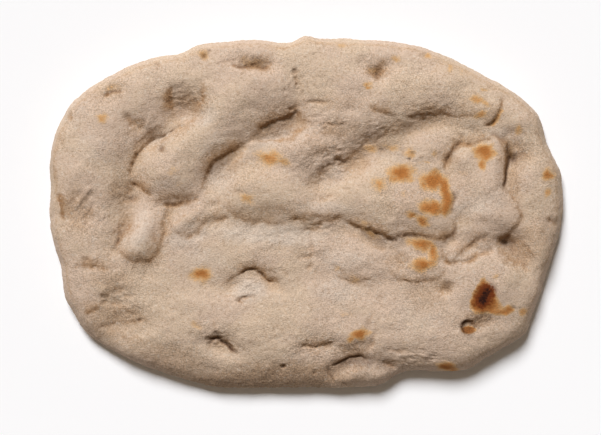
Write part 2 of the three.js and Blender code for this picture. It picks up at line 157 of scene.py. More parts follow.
# Folds: the dough on the left of each line, walking along it, rises over what lies on its right, which sinks.
# The six strengths before each line are groove, overhang, rise, sink, ease and shade. The groove is how deep
# the line itself is cut, and how dark the painted shade along it is, the overhang how far the lip leans over
# it, ease how much the flank is flattened, and shade how much painted shade lies on the flank and, more
# narrowly, on the floor beside the line.
folds = {
    "under the middle roll": (0.25, 0.2, 0.1, 0.1, 0.3, 0.4, [
        (-53, 5), (-50, 3.8), (-47, 2.4), (-44, 0), (-42, -2), (-38, -4.4), (-35, -5.8), (-30, -5.8),
        (-25, -5.4), (-22, -6.4), (-18, -7), (-14, -6.2), (-11, -5), (-8, -4.2),
    ]),
    "right of the middle roll": (0.35, 0.14, 0, 0, 0, 0.5, [(-10, -4.6), (-7, -4), (-3, -4.2), (1, -4.9)]),
    "upper edge of the bridge": (0.2, 0.14, 0, 0.05, 0, 0.4, [
        (-6, -2), (0, -2.2), (10, -2.8), (20, -2.6), (24, -1.4),
    ]),
    "under the bridge": (0.4, 0.1, 0, 0.2, 0, 0.4, [
        (-3, -9), (2, -10.4), (6, -9.6), (8, -7.4), (10, -5), (14, -4.4), (18, -4), (21, -4), (24, -5.6),
    ]),
    "under the big roll": (0.6, 0.35, 0.2, 0.7, 0.4, 0.6, [
        (21, -4), (23, -5), (26, -7.4), (30, -9.2), (34, -9.5), (37, -10), (40, -11.6), (44, -12.8),
        (47, -14.5), (50, -16.4), (53, -17),
    ]),
    "right end of the big roll": (0.35, 0.25, 0.15, 0.05, 0.4, 0.55, [
        (50, -16), (55, -13.8), (60, -13.8), (66, -14), (70, -14.4), (74, -15.4), (79, -15.6), (83, -15),
        (86, -12.5), (88, -9.5), (88.6, -5), (87, -2),
    ]),
    "right of the big roll": (0.7, 0.21, 0.14, 0.24, 0, 0.55, [
        (85, -1.4), (84.6, 2), (85, 5), (86, 8), (86, 12),
    ]),
    "under the long roll": (0.64, 0.28, 0.1, 0.4, 0, 0.5, [
        (-105, 17.4), (-99, 15.4), (-95, 12.4), (-90, 10),
    ]),
    "lower edge of the long roll": (0.35, 0.28, 0, 0.1, 0.3, 0.35, [
        (-95, 7), (-89, 6.4), (-85, 8), (-78, 7.6), (-72, 8.2), (-65, 10), (-61, 13.4),
    ]),
    "second crease under the long roll": (1.1, 0.21, 0, 0.1, 0, 0.35, [
        (-87, 5.8), (-82, 3.8), (-79, 3.4), (-74, 5.4), (-67, 6.8), (-62.6, 8),
    ]),
    "end of the long roll": (0.1, 0.21, 0.1, 0.36, 0, 0.2, [(-62, 11), (-59, 16), (-59.4, 21), (-58.6, 25)]),
    "first pocket of the middle valley": (0.1, 0.3, 0, 0.8, 0, 0.7, [
        (-58.8, 20), (-58.2, 24.6), (-56.2, 28.4), (-53, 31.2), (-48.4, 33.6), (-43.6, 36.2), (-39.4, 38.8),
        (-36, 42),
    ]),
    "second pocket of the middle valley": (0.05, 0.15, 0.2, 1.4, 0, 0.5, [
        (-29, 45), (-27, 49), (-24, 52), (-20, 53.6), (-14, 54.8), (-9, 57.2), (-6, 60.8),
    ]),
    "upper edge of the middle roll": (0, 0, 1.5, 0.6, 0, 0, [
        (2, 51), (-5, 47), (-8, 45), (-14, 43), (-20, 42.6), (-24, 41.4), (-30, 42), (-35, 39.4), (-38, 34),
        (-44, 28), (-50, 22),
    ]),
    "left valley": (0.4, 0.35, 0.8, 0.7, 0, 0.4, [
        (-104.4, 21), (-102.6, 26), (-100.8, 30.4), (-98.6, 34.4), (-96, 38), (-93.2, 41), (-90, 43.4),
    ]),
    "upper end of the left valley": (0.16, 0.14, 0.6, 1, 0, 0.3, [
        (-94, 41.4), (-90, 43.6), (-86, 44.6), (-82, 45.6), (-77, 48.6), (-72, 52.4),
    ]),
    "left wall of the dent": (0.72, 0.28, 0.35, 0.6, 0, 0.9, [
        (-79.6, 58), (-79, 64), (-79.8, 69), (-81, 74),
    ]),
    "right wall of the dent": (0.32, 0.14, 0.42, 0.48, 0, 0.3, [
        (-61, 78), (-60.8, 71), (-61.6, 65), (-65, 61),
    ]),
    "upper side of the thick finger": (0.5, 0.35, 0.42, 0.12, 0, 0.1, [
        (-112.6, -22), (-111.6, -19), (-109.6, -15), (-107, -11), (-104.6, -8), (-103, -4),
    ]),
    "thick finger": (0.25, 0.2, 0, 0, 0, 0.45, [
        (-112.4, -20), (-111, -24), (-107, -27), (-102, -29), (-96, -29.6), (-90, -28), (-86.4, -24),
        (-84.6, -17), (-82.8, -10), (-81.4, -3),
    ]),
    "thin finger": (0.2, 0.28, 0, 0.1, 0, 0.45, [
        (-80, -11), (-76, -13), (-73, -14), (-70, -14.6), (-65, -12.4), (-61, -8.6), (-58.6, -5), (-57.4, 0),
    ]),
    "beside the thin finger": (0.48, 0.14, 0.28, 0.24, 0, 0.5, [
        (-57.6, -2.6), (-54, -4.2), (-49, -4.6), (-45, -3.4),
    ]),
    "upper side of the thin finger": (0.16, 0.07, 0.35, 0.24, 0, 0, [
        (-60, 4.5), (-68, 0), (-76, -5), (-80, -10),
    ]),
    "upper right roll": (0.2, 0.1, 0.1, 0.1, 0, 0.35, [
        (57, 57), (60, 56.3), (65, 57), (68, 56), (70, 57.4), (74, 56.6), (78, 58), (85, 57), (90, 56.5),
        (96, 56), (102, 55.5), (105, 54), (108, 52),
    ]),
    "tip of the upper right roll": (0.7, 0.3, 0.35, 0.3, 0, 0.3, [
        (102, 51), (107, 51.6), (109, 52.6), (111.5, 56), (114, 60), (115, 65), (115.4, 69),
    ]),
    "diagonal of the upper right valley": (0.15, 0, -0.5, 0.2, 0, 0.35, [
        (44, 44.6), (51, 46.5), (55, 50), (57, 54),
    ]),
    "below the upper middle swelling": (0.2, 0, -0.5, 0.2, 0, 0.2, [
        (29, 29), (34, 34.5), (40, 37), (44, 40), (48, 45),
    ]),
    "edge of the lump below the upper pit": (0.24, 0.07, 0.35, 0.24, 0, 0.6, [
        (36, 62), (38, 61.5), (42, 59.5), (46, 57.5), (51, 56.5),
    ]),
    "right-hand cushion": (0.55, 0.45, 0.1, 0.5, 0, 0.3, [
        (115.4, 13), (116.8, 20), (117.6, 25), (117.4, 30), (117.4, 36), (117.6, 40), (116, 42), (113, 43.8),
        (108, 46),
    ]),
    "left side of the right-hand cushion": (0.6, 0.21, 0.28, 0.9, 0, 0.6, [
        (81.6, 24), (82, 28), (83, 31.6), (85.2, 35.2), (88.4, 38.8), (90.2, 42), (90.8, 46.6),
    ]),
    "above the right-hand cushion": (0.56, 0.14, 0.35, 0.18, 0, 0.6, [
        (88, 40), (92, 40), (96, 39.6), (100, 40.6), (104, 42.5), (109, 43),
    ]),
    "lower right-hand cushion": (0.4, 0.2, 0.28, 0.48, 0.4, 0.35, [
        (94, -20), (98, -17), (101, -15.8), (106, -15.6),
    ]),
    "side of the lower right-hand cushion": (0.4, 0.14, 0.21, 0.12, 0, 0.3, [
        (118, -13), (122, -10), (125.4, -6), (126, 0), (124.5, 4), (122, 8), (119, 11), (115.6, 14),
    ]),
    "cushion under the big roll": (0.32, 0.21, 0.28, 0.24, 0.5, 0.4, [
        (48, -33), (52, -38), (56, -40), (63, -41), (70, -40.6), (76, -40), (81, -36), (82, -29),
    ]),
    "leaf": (0.72, 0.28, 0.42, 0.12, 0, 0.5, [
        (79.6, -19), (80.4, -27), (82, -29.8), (85, -30.6), (90, -29.4), (95, -28.6), (98, -27), (101, -25),
        (105, -23.6), (110, -21.6),
    ]),
    "inner line of the leaf": (0.4, 0.14, 0.21, 0.36, 0, 0.5, [
        (85, -28), (90, -25.4), (93, -22), (95, -20), (99, -17),
    ]),
    "lower middle swelling": (0.1, 0.21, 0.28, 0.3, 0.2, 0.4, [
        (17, -37.6), (22, -39), (26, -40.6), (31, -41), (35, -40), (41, -38),
    ]),
    "above the lower lobe": (0.35, 0.4, 0, 0.5, 0, 0.4, [
        (14, -90.4), (18, -89), (21, -87.4), (24, -86), (27, -84.8), (29.6, -84.4), (33, -85.4), (37, -87),
    ]),
    "left side of the lower lobe": (0.32, 0.21, 0.35, 0.72, 0, 0.2, [
        (12.6, -90), (13.4, -93), (14.4, -96), (17, -101),
    ]),
    "pocket in the upper rim": (0.88, 0.42, 0.28, 0.72, 0, 0, [
        (-20.4, 88), (-21.4, 85), (-24, 84.2), (-27, 84.8), (-30, 86.3), (-33, 86), (-37, 85.2), (-40, 85.4),
        (-44, 87),
    ]),
    "pocket in the left rim": (0.72, 0.35, 0.28, 0.6, 0, 0, [
        (-107, 71.6), (-109, 70.6), (-113, 71), (-116, 69.5), (-120, 67.6),
    ]),
    "pit in the upper rim": (0.32, 0.21, 0.21, 0.84, 0, 0, [
        (48, 86), (44, 81), (41, 79.3), (38, 80.5), (35, 86),
    ]),
    "fingertip dimple": (0.6, 0.56, 0.21, 0.6, 0.3, 0.6, [
        (-41, -38), (-38, -34.2), (-35, -33), (-31, -33.4), (-28, -35), (-25, -37.4), (-22, -39.6),
        (-16, -42),
    ]),
    "left end of the dimple": (0.24, 0.14, 0.14, 0.1, 0, 0.3, [
        (-48, -43), (-45, -40.6), (-42, -38), (-39, -36),
    ]),
    "left rim": (0.8, 0.42, 0.28, 0.36, 0, 0.6, [(-145, 12), (-144.4, 7), (-144, 3), (-142.6, -5)]),
    "lower left furrow": (0.15, 0.21, 0.21, 0.18, 0, 0.6, [(-130, -60), (-125, -57.6), (-121, -56)]),
    "foot of the lower left furrow": (0.24, 0.14, 0, 0.1, 0, 0.3, [
        (-128, -70), (-120, -67), (-114, -65), (-104, -64), (-98, -64), (-90, -64),
    ]),
    "crease in the lower left rim": (0.48, 0.14, 0.21, 0.18, 0, 0.6, [
        (-137, -32), (-130, -31.6), (-125, -32.6), (-120, -33), (-113, -34),
    ]),
    "hollow above the lower edge": (0.16, 0.14, 0.14, 0.54, 0, 0.4, [
        (-5, -79), (0, -78.4), (4, -78.6), (10, -78), (17, -75.4),
    ]),
}

# Thin creases that press in both sides alike: depth, reach and line.
creases = [
    (0.4, 1.4, [(-133, -27), (-126, -28.5)]),
    (0.2, 1.5, [(-96, 20), (-90, 19), (-84, 20.5)]),
    (0.7, 1.3, [(-46, 11.4), (-40, 11.6), (-35, 12)]),
    (0.3, 1.2, [(-31, 11), (-25, 11.4), (-20, 11)]),
    (1, 1.1, [(6, 9.2), (10, 8.4), (13, 9), (17, 10.6)]),
    (1, 1.1, [(-2, 64.4), (5, 64.2), (10, 64.8), (15, 65.4)]),
    (0.8, 1, [(-6.5, 81), (-6, 77), (-5.2, 74)]),
    (1, 1, [(-10.6, 60.4), (-7, 61), (-5.8, 63.4)]),
    (0.7, 1.1, [(58, 56), (64, 54.5), (68, 54), (74, 55.2)]),
    (0.8, 1.3, [(40, -58.6), (37, -63), (36, -67)]),
    (0.8, 1.5, [(40.4, -69), (39.6, -74), (38, -78), (34.6, -80.6)]),
    (0.5, 1.2, [(-15, -33), (-12, -37), (-9, -38)]),
    (0.6, 1.5, [(2, -11), (2.4, -16), (3.4, -21), (4.4, -25.6)]),
    (0.6, 1.3, [(-5, -27.4), (1, -26.4), (5, -24.6)]),
    (0.7, 1.2, [(4, -30), (2.4, -32), (0, -34.4)]),
    (1.1, 0.9, [(-28, -50.6), (-33, -49.7), (-38, -49.8), (-40.6, -51), (-39, -52.2), (-34, -52.5)]),
    (1.3, 1.3, [(45, -87.6), (49, -89.4), (53, -91.4)]),
    (0.7, 1.1, [(46, -81), (53, -81.8), (61, -81.4)]),
    (0.5, 1.4, [(-53, 2), (-51, 6), (-52, 10)]),
    (0.9, 1.1, [(16, 30), (18.4, 30.3), (20.4, 30), (23.4, 29.2)]),
    (0.5, 1.1, [(6, 36.6), (9, 35.6), (13, 35), (18, 35.2), (27, 36.6)]),
    (0.5, 1.1, [(15.6, 28.4), (12, 26.4), (9.6, 25), (7.6, 22)]),
    (0.6, 1.1, [(10, 52), (15, 51.4), (20, 51.2)]),
    (0.5, 1.1, [(10, 19.4), (17, 19), (24, 19.6)]),
    (0.5, 1.1, [(20, 14), (26, 13.4)]),
    (0.9, 1.2, [(122, -27), (126.6, -30.6), (131, -35)]),
    (0.6, 1.2, [(119, -20), (123, -24)]),
    (0.6, 1, [(54, -29), (57, -30.6), (60, -29.4)]),
    (0.6, 1.1, [(38, -19), (42, -21.4), (47, -22)]),
    (0.6, 1, [(57.6, 38), (57, 34), (57.2, 29)]),
    (0.8, 1.2, [(42, 39), (43.4, 36.6), (45.6, 34.4)]),
    (0.8, 1, [(-112.6, -43.6), (-110.6, -48), (-109, -46), (-105.6, -45.2)]),
    (0.7, 1, [(-109, -49), (-104.6, -49.9), (-100.6, -49.4)]),
    (1, 1.2, [(-121.6, -54), (-119, -53.2), (-116.4, -53.4)]),
    (1, 1.1, [(-114.6, -54), (-112, -53.4), (-109, -54.2)]),
    (0.8, 1, [(-122, -48), (-120, -50), (-117.4, -49.6), (-116.4, -47)]),
    (1.2, 1.6, [(-106.6, 57.6), (-103.6, 53.6), (-100.6, 50)]),
    (0.9, 1.2, [(-110, 5), (-104, 6.6), (-97, 9)]),
    (0.5, 1, [(-54, 86.4), (-48, 88.4), (-41, 89.6)]),
    (0.6, 1.2, [(-68, -66), (-64.6, -66), (-61, -68.4)]),
    (1.1, 0.9, [(-139.6, 53.4), (-139, 56), (-137.8, 58.6)]),
    (0.8, 0.8, [(-88.6, 86.5), (-85, 86.6)]),
    (0.7, 0.9, [(69.6, 95), (69, 93), (70.4, 90.4), (73, 92)]),
    (1, 1.8, [(141, -3), (144, -5.6), (147, -9)]),
    (0.4, 1.2, [(-70, 21), (-66, 23)]),
]

# Thin ridges that stand up: height, reach and line.
ridges = [
    (0.7, 1.6, [(115, 15), (115.8, 22), (116, 30), (115.6, 38)]),
    (1.1, 1.1, [(-123, 16.5), (-127, 13.5), (-131, 10), (-134, 5), (-135.5, 0)]),
    (0.4, 1.6, [(-122, 44), (-119, 36)]),
    (0.5, 1, [(-128, 34), (-130, 29)]),
    (0.6, 1.6, [(14, 25.5), (22, 25)]),
    (0.7, 2, [(14, 33), (26, 34.5)]),
    (0.5, 1.6, [(44, -7), (50, -5), (56, -7)]),
    (1, 2, [(64, -84), (69, -85.5), (73, -84)]),
    (0.5, 1.8, [(70, 25.5), (78, 26.5), (82, 22)]),
]

# Swellings and dents, too small or too sharp for the solid under the skin:
# x, y, half length, half width, turn in degrees and rise (a dent's is below nought).
swellings = [
    (-33, -42, 7, 5, 0, 1.08), (96, 52.4, 5, 3, 0, 0.81), (94, 45.6, 4.5, 3, 0, 0.81),
    (-119, -46, 2.4, 2.4, 0, 0.81), (-34, 42, 4, 3, 40, 0.9), (-38, 3, 10, 3.4, -15, 0.72),
    (91, 32, 4.5, 5, 0, 0.72), (106, 33, 7, 7, 0, 0.36), (34, -26, 9, 9, 0, 0.63),
    (-124, -38, 8, 7, 0, 0.54), (74, 36, 11, 6, 10, 0.8), (-99, 49.4, 7, 4, -40, -1.1),
    (-75, 79, 9, 4, 10, 0.54), (-97, -15, 7, 6, 60, 0.63), (64, 17.4, 20, 9, 0, 1.4),
    (62, -3, 17, 4, 0, -0.52), (-14, 36.4, 18, 5, 6, 0.9), (-12, 16, 20, 6, 0, -0.38),
    (8, -48, 9, 9, 0, 0.36), (66, -66, 10, 10, 0, 0.36), (120, -40, 7, 7, 0, 0.45),
    (-140, 24, 6, 6, 0, 0.36), (46, 72, 9, 9, 0, 0.36), (20, 63, 7, 5, 0, 0.36), (-58, 82, 8, 8, 0, 0.36),
    (-34, 72, 9, 9, 0, 0.45), (42, 38, 12, 4, 20, 1), (14.6, 29, 3, 1.6, 0, 0.72), (20, 24, 9, 2.4, 4, 0.63),
    (-68, -3, 9, 4, 30, 0.45), (-62, 24.4, 4, 2, -30, 0.45), (88, -22, 5, 4, 50, 0.72),
    (104, -19, 5, 2, 5, 0.45), (51, -3, 8, 3, 10, 0.36), (-44, 22.4, 11, 5, 42, -1.6),
    (-17, 46.6, 12, 4.6, 20, -1.1), (-6, 53, 6, 5, 20, -2.6), (-72, 54, 11, 6, 12, -2.4),
    (-67, 60, 7, 6, 0, -1.8), (-94, 42, 7, 4, 40, -1.5), (-84, 45.4, 9, 5, 35, -1.4),
    (-102, 11, 6, 4, 40, -1.2), (-106.6, -7, 6, 3.4, 60, -1.05), (-128, -3, 6, 4, 50, -1.2),
    (-138, 0, 4, 6, 0, -0.75), (-60, 0, 8, 3, 25, -0.38), (29, 31.4, 10, 4.4, 25, -1.3),
    (9, 19, 6, 4, 50, -1), (8, 33, 8, 3, 0, -0.68), (10, 48, 12, 5, -8, -0.9), (101, 46, 6, 3, 10, -0.75),
    (119.8, 31.4, 2.6, 4.5, 0, -1.6), (124, -24, 10, 6, -45, -2.4), (117, -18, 3, 3, 0, -1.95),
    (81, -45.6, 4, 3.6, 20, -1.8), (101, -66, 9, 4.4, 18, -1.8), (28, -80, 9, 4, 10, -0.5),
    (-20, -106, 75, 20, 0, -1.8), (49, -92, 7, 3, 0, -1.05), (6, -78.6, 9, 3, -2, -0.6),
    (-119, -76, 9, 4.4, -25, -1.2), (-108, -60, 12, 4, 0, -0.6), (42.6, 79.6, 5.4, 4.6, 0, -2),
    (-31, 85.6, 9, 3, 0, -0.9), (-113, 73, 5, 2.6, 15, -0.6), (-112, -49, 10, 5, 0, -0.8),
    (-45, -45, 4, 3, 40, -0.52), (-20, -43, 4, 2.6, -30, -0.68), (-143, 39, 3, 5, 20, -0.45),
    (-53, -79.4, 6, 3.4, -20, -0.8), (38, -17, 10, 4, -25, -1.3), (126, 10, 3, 6, 0, -0.6),
    (104, -49, 6, 6, 0, -0.3), (55, -29, 5, 5, 0, -1), (72, -23, 4, 3, -50, -0.38),
    (102, -6, 14, 3, 0, -0.52), (32, -77, 6, 3, 10, -0.6), (86, -17.6, 3, 2.4, 40, -1.05),
    (143, -7, 4, 3, -40, -0.75), (-31, 61, 5, 3, 0, -0.45), (-14, 60, 9, 4, 10, -0.5),
    (-60, 92, 3, 2.6, 0, -1.2), (-74, -18, 9, 3, 10, 0.6), (-98, -33.6, 10, 3, 0, 0.5),
    (-90, 40.6, 6, 3.6, 45, -1.1), (29, 25, 10, 5, 20, -1.5), (-74, -100, 30, 16, -25, -1.2),
    (-56, 3.6, 5, 3, 0, -1.2), (-82, -7, 7, 2.4, 75, -1.2), (13, 43.6, 11, 4, 0, -1.2),
    (26, 60, 7, 3, -10, -0.7), (139, -25, 8, 5, 62, 0.8), (101, -21.6, 9, 4, 8, -1.2),
    (52, 46.4, 11, 4.6, 35, 1.1), (116, 50, 6, 4, -30, 0.5), (128, 31, 7, 5, 0, -0.8),
    (-128, 8, 14, 10, 60, -0.6), (-20, 25, 20, 7, 5, -0.4), (5, -86, 14, 5, 0, -0.8),
    (-30, 0.6, 20, 4.4, -3, 0.3), (27, -41, 11, 5, 0, 0.5), (43, -46, 8, 4, 0, 0.5),
    (-99, -25.4, 9, 4, -5, 0.8), (-70, -8, 8, 3.4, 15, -0.5), (-12, 44, 16, 5.4, 16, -1.7),
    (-108, -76, 13, 5, -15, -1.2), (83, 43, 5, 4, 45, 0.6), (115, -13, 8, 3, 10, 0.8),
    (-4, -9, 9, 3, 0, 0.5), (27, -95.6, 14, 7, 0, -1.4), (-9, 31, 12, 5, 0, 1.3), (52, 4.6, 14, 4, -8, 0.5),
    (-79.5, 70, 4, 5, 0, 0.7), (45, 84.6, 6, 5, 0, -1.1), (-5, -101, 28, 7, 0, -0.4),
    (122, 29, 5, 7, 0, -0.5), (-108, -12, 4, 8, -30, -0.6), (77, -23.4, 5, 3.4, 0, 0.7),
    (-4, 49, 10, 5, 20, -0.9), (104, 0, 15, 8, 0, 1), (-132, 20, 14, 10, 0, 0.7),
    (28, 44.6, 12, 4.4, 5, 0.9), (-82, 16.4, 13, 4, -8, -0.4), (68, -24.6, 5, 3, 0, -0.8),
    (45, -9.4, 16, 3.4, -12, 0.5), (98, -81, 12, 5, 24, 0.6),
]

# Pits and open pores: x, y, radius, depth and how dark the painted shade inside them is.
pits = [
    (-60.4, 91.6, 1.7, 1.8, 0.6), (-57, 94.6, 1.1, 0.9, 0.6), (-85, 37.6, 2.3, 1.8, 0.6),
    (-86, 39, 1.1, 0.8, 0.3), (-6.6, 82.4, 1.9, 1.8, 0.55), (-5.3, 74.4, 0.9, 1, 0.5),
    (-13.2, -91, 1.5, 2, 0.85), (5, -94.5, 1.4, 1, 0.4), (60.4, 31.6, 1.3, 1.4, 0.75), (62, 34, 2, 1, 0.25),
    (62, 88.5, 1.2, 0.7, 0.25), (93, 73.4, 1.2, 1.2, 0.4), (-48.8, 9.8, 0.8, 1, 0.75),
    (121.4, -56, 1.2, 1.2, 0.7), (-98.4, -63.6, 1.2, 1.2, 0.6), (-39.6, -51.4, 1.2, 1.2, 0.8),
    (57, -81, 1, 0.6, 0.2), (49.6, -67, 0.9, 0.6, 0.3), (88, -63, 0.9, 0.7, 0.4), (4.5, 92, 0.7, 0.6, 0.5),
    (-11.6, 46, 1, 0.8, 0.4), (-130, -6, 1.2, 0.9, 0.3), (22, -100, 0.8, 0.6, 0.5),
    (-38, -14, 0.8, 0.5, 0.2), (-6.4, 58.6, 1.8, 1, 0.6), (116.4, -16.6, 2.2, 0.8, 0.35),
    (120.4, 30.8, 2.9, 1, 0.9), (41.6, 81, 3.2, 0.8, 0.6), (-80.6, 65, 1.6, 0.4, 0.45),
    (-63, 70, 1.3, 0.3, 0.3), (-95.6, 42, 1.2, 0.4, 0.35), (123, -56.4, 0.8, 0.5, 0.5),
]

# Cracks that are open: depth, how dark the painted shade inside them is, reach and line.
cracks = [
    (2.2, 1, 1, [
        (-60, -73.6), (-56, -74.6), (-53, -74), (-50.5, -75.2), (-48.6, -76.6), (-46.4, -77.4), (-44, -80),
        (-42, -82), (-40, -83),
    ]),
    (1.2, 0.7, 1, [(-57.4, -78), (-56, -76), (-55, -74)]),
    (0.8, 0.5, 1, [(-54, -70), (-52.4, -72), (-51, -75)]),
    (1.2, 0.75, 0.8, [
        (115, 13), (115.8, 16), (117.2, 20), (118.2, 25), (118.6, 30), (118.4, 36), (118, 41),
    ]),
    (0.6, 0.65, 2, [(118.4, 40), (119.2, 36), (119.6, 33), (118.4, 30)]),
    (0.3, 0.35, 2.2, [(83.4, -40), (82.8, -44), (81.4, -47)]),
    (1.4, 0.4, 1.2, [(114.2, -17.8), (116, -15.8), (119.6, -12.8)]),
    (1, 0.3, 1.5, [(114, -17.4), (118, -19)]),
    (0.7, 0.7, 0.8, folds["above the lower lobe"][-1]),
    (0.3, 0.22, 2, [(117, -19), (121, -23), (126, -28), (130, -33)]),
    (0.6, 0.45, 1, [(46, -15.2), (49, -16.4), (54, -17)]),
    (0.5, 0.5, 0.8, [(53, -13.8), (58, -13.8), (64, -13.9), (68, -14.2)]),
    (0.5, 0.45, 1.2, [(80, -17.4), (84, -15), (87, -11.6), (88.4, -8)]),
    (0.6, 0.55, 0.8, [
        (-44, 87), (-40, 85.4), (-37, 85.2), (-33, 86), (-30, 86.3), (-27, 84.8), (-22, 84.4),
    ]),
    (0.5, 0.5, 0.8, [(-120, 68), (-116, 69.5), (-113, 71), (-108, 70.6)]),
    (0.5, 0.6, 0.8, [(106, 51.4), (109, 52.6), (111.5, 56), (114, 60)]),
    (0.4, 0.4, 1, [(-38, -34.6), (-35, -33), (-31, -33.4), (-28, -35), (-24, -38.2)]),
    (0.1, 0.1, 1, [(-29, 47), (-25, 52), (-20, 54), (-12, 54.6), (-7, 58)]),
    (0.3, 0.3, 1.6, [(107, 46.4), (111, 45), (114.6, 43.4), (117, 41)]),
    (0.3, 0.45, 1.2, [(85.4, -1), (86, 4), (87, 8), (86.4, 12)]),
    (0.2, 0.25, 1.2, [(-57, 28), (-54, 31), (-49, 33)]),
    (0.4, 0.5, 0.8, [(15, 29.8), (18.4, 30.4), (23, 29.4)]),
    (0.3, 0.2, 0.9, [(60, 56.3), (65, 57), (68, 56), (71, 57.4), (76, 57)]),
    (0.3, 0.42, 1.9, [(89.6, 42.4), (88.2, 38.6), (86, 35.4), (83.4, 32.6), (82, 29)]),
]

# Shaded strips in the deepest hollows, where light hardly reaches: how dark, reach and line.
shades = [
    (0.3, 3.2, [(119, 33), (124, 33.4), (130, 35)]),
    (0.45, 4, [(16, -90.6), (22, -88), (28, -86.6), (35, -88), (40, -90)]),
    (0.22, 3, [(-57, 24), (-53, 28.4), (-47, 31), (-41, 35)]),
    (0.4, 2.4, [(19, -89.6), (24, -87.4), (29, -86.4), (34, -87.4)]),
    (0.24, 3, [(92, -62.4), (98, -61.4), (104, -62.4), (109.6, -61.4)]),
    (0.12, 3, [(98, -65), (103, -66), (108, -64)]),
    (0.15, 3, [(-30, 41.6), (-24, 43), (-18, 43.6)]),
    (0.15, 4, [(92, -12), (100, -15), (108, -13)]),
    (0.1, 3, [(-52, 12), (-40, 13), (-30, 14)]),
    (0.15, 3, [(-108, 2), (-103, 6), (-98, 9)]),
    (0.2, 4.4, [(-76, 64), (-70, 63), (-64, 63)]),
    (0.25, 1.6, [(-90, 6.4), (-84, 5), (-76, 4.4), (-66, 5.6)]),
    (0.3, 3.2, [(31, -11), (37, -13.6), (43, -16), (48, -18.6)]),
    (0.25, 3, [(10, -93), (15, -94), (20, -91), (26, -88), (32, -86.4)]),
    (0.2, 5, [(-70, -97), (-50, -99.6), (-20, -99.6), (0, -98), (12, -97)]),
    (0.16, 3, [(6, 22), (12, 28), (18, 28.6), (30, 27)]),
    (0.16, 2.6, [(42, 34.6), (50, 34.4), (58, 32)]),
    (0.2, 4, [(-96, 44), (-90, 46), (-84, 49)]),
    (0.35, 2, [(115, -19), (120, -20.6)]),
    (0.35, 2.4, [(-41, 87.2), (-36, 87.4), (-30, 88.2), (-24, 87.6)]),
    (0.3, 2.2, [(-58, -75.6), (-53, -76.6)]),
    (0.3, 3, [(41, -89), (46, -90.4), (51, -91)]),
    (0.3, 2.6, [(-105, -6), (-108, -11), (-111.6, -17), (-113, -24)]),
    (0.35, 4.4, [(-26, 47), (-20, 49.8), (-12, 52), (-5, 56)]),
    (0.22, 4, [(-58, 21), (-54, 26.4), (-48, 30.4), (-43, 34)]),
]

# The one burst bubble below the scorch: a round hole with a brown lens in its lower half.
bubble = {
    "centre": (95, -67.5),
    "radius": 4.3,
    "wall": 1.3,  # how far its wall slopes inwards
    "rim": 0.3,
    "rimAt": 0.8,  # how far outside the hole the rim stands highest
    "rimReach": 1.0,
    "hollow": 1.6,
    "crescentDark": (0.45, 0.9),  # how dark the crescent's painted shade is, on the right and on the left
    "crescentReach": 1.1,
    "lineDark": 0.7,  # under the lens
    "lineReach": 0.7,
    "lensDark": 0.5,
    "lens": (95, -69.2, 3.6, 1.9, 0, 1.0),  # x, y, half length, half width, turn and rise
    "lensBrown": 0.95,
}

# How the lists above and below are pressed and painted into the dough. Pairs of heights are those between
# which something fades in, so that it leaves out the side of the rim.
dough = {
    "subdivisions": 2,
    "softening": 45,  # rounds of smoothing before the folds are pressed in
    "softness": 0.5,
    "lastSoftness": 0.3,  # one more round after them, so that no fold is sharper than dough can be
    "foldHeights": (6.5, 10.5),
    "topFrom": 8,  # what is higher counts as the top
    "flattening": 0.28,  # how much of the swellings' height over the dough around them is taken off
    "flatteningSpread": 90,
    "bulge": 2.0,  # how far the side of the rim stands out, most of all just above bulgeFrom
    "bulgeFrom": 2.5,
    "bulgeTo": 11,
    "straySize": 0.5,  # how far lines stray from where they are written
    "strayLength": 5.0,
    "foldWithin": 20,  # how far from its line a fold is felt
    "grooveReach": 1.1,
    "lipReach": 1.3,
    "lipFade": 9,
    "floorReach": 4.0,
    "overhangAt": 1.6,
    "overhangWidth": 3.0,
    "easeAt": 5,
    "easeReach": 4,
    "raggedness": 0.5,  # how much a fold's strength changes along its line
    "raggedLength": 4.5,
    "creaseRaggedness": 0.4,
    "creaseRaggedLength": 4,
    "unevenHeights": (0, 2.0),  # the underside stays flat
    "unevenness": [(16, 0.8), (7, 0.42), (3.0, 0.2)],  # size of the lumps and how much they stand out
    "wrinkleSize": 2.6,
    "wrinkleStretch": 3.2,
    "wrinkleSharpness": 3.2,
    "lookFrom": 5,  # no look reaches below this height
    "edgeStrays": [(0.8, 5), (0.35, 2.4)],  # how far the edges of the looks stray, coarsely and finely
    "scorchStray": (0.5, 2.4),
    "lineReach": 1.1,  # half the width of the painted shade line in a crease
    "creaseShadeStrength": 0.6,
    "flankShadeReach": 6.0,
    "floorShadeReach": 1.6,
    "dentShade": 0.3,  # how much painted shade a dent gets for each millimetre of its depth
    "mostDentShade": 0.4,
    "widestDent": 8,  # broader dents get no painted shade
    "hollowSpread": 22,
    "hollowDepth": 6,
    "hollowHeights": (9, 13),
    "steepness": 0.4,
    "steepHeights": (11, 14),
    "fieldEdge": 1.5,  # fields of flour and sand fade out at this many times their size
    "spotBrown": 1.05,
    "spotReach": 0.82,
    "pitReach": 0.8,
}

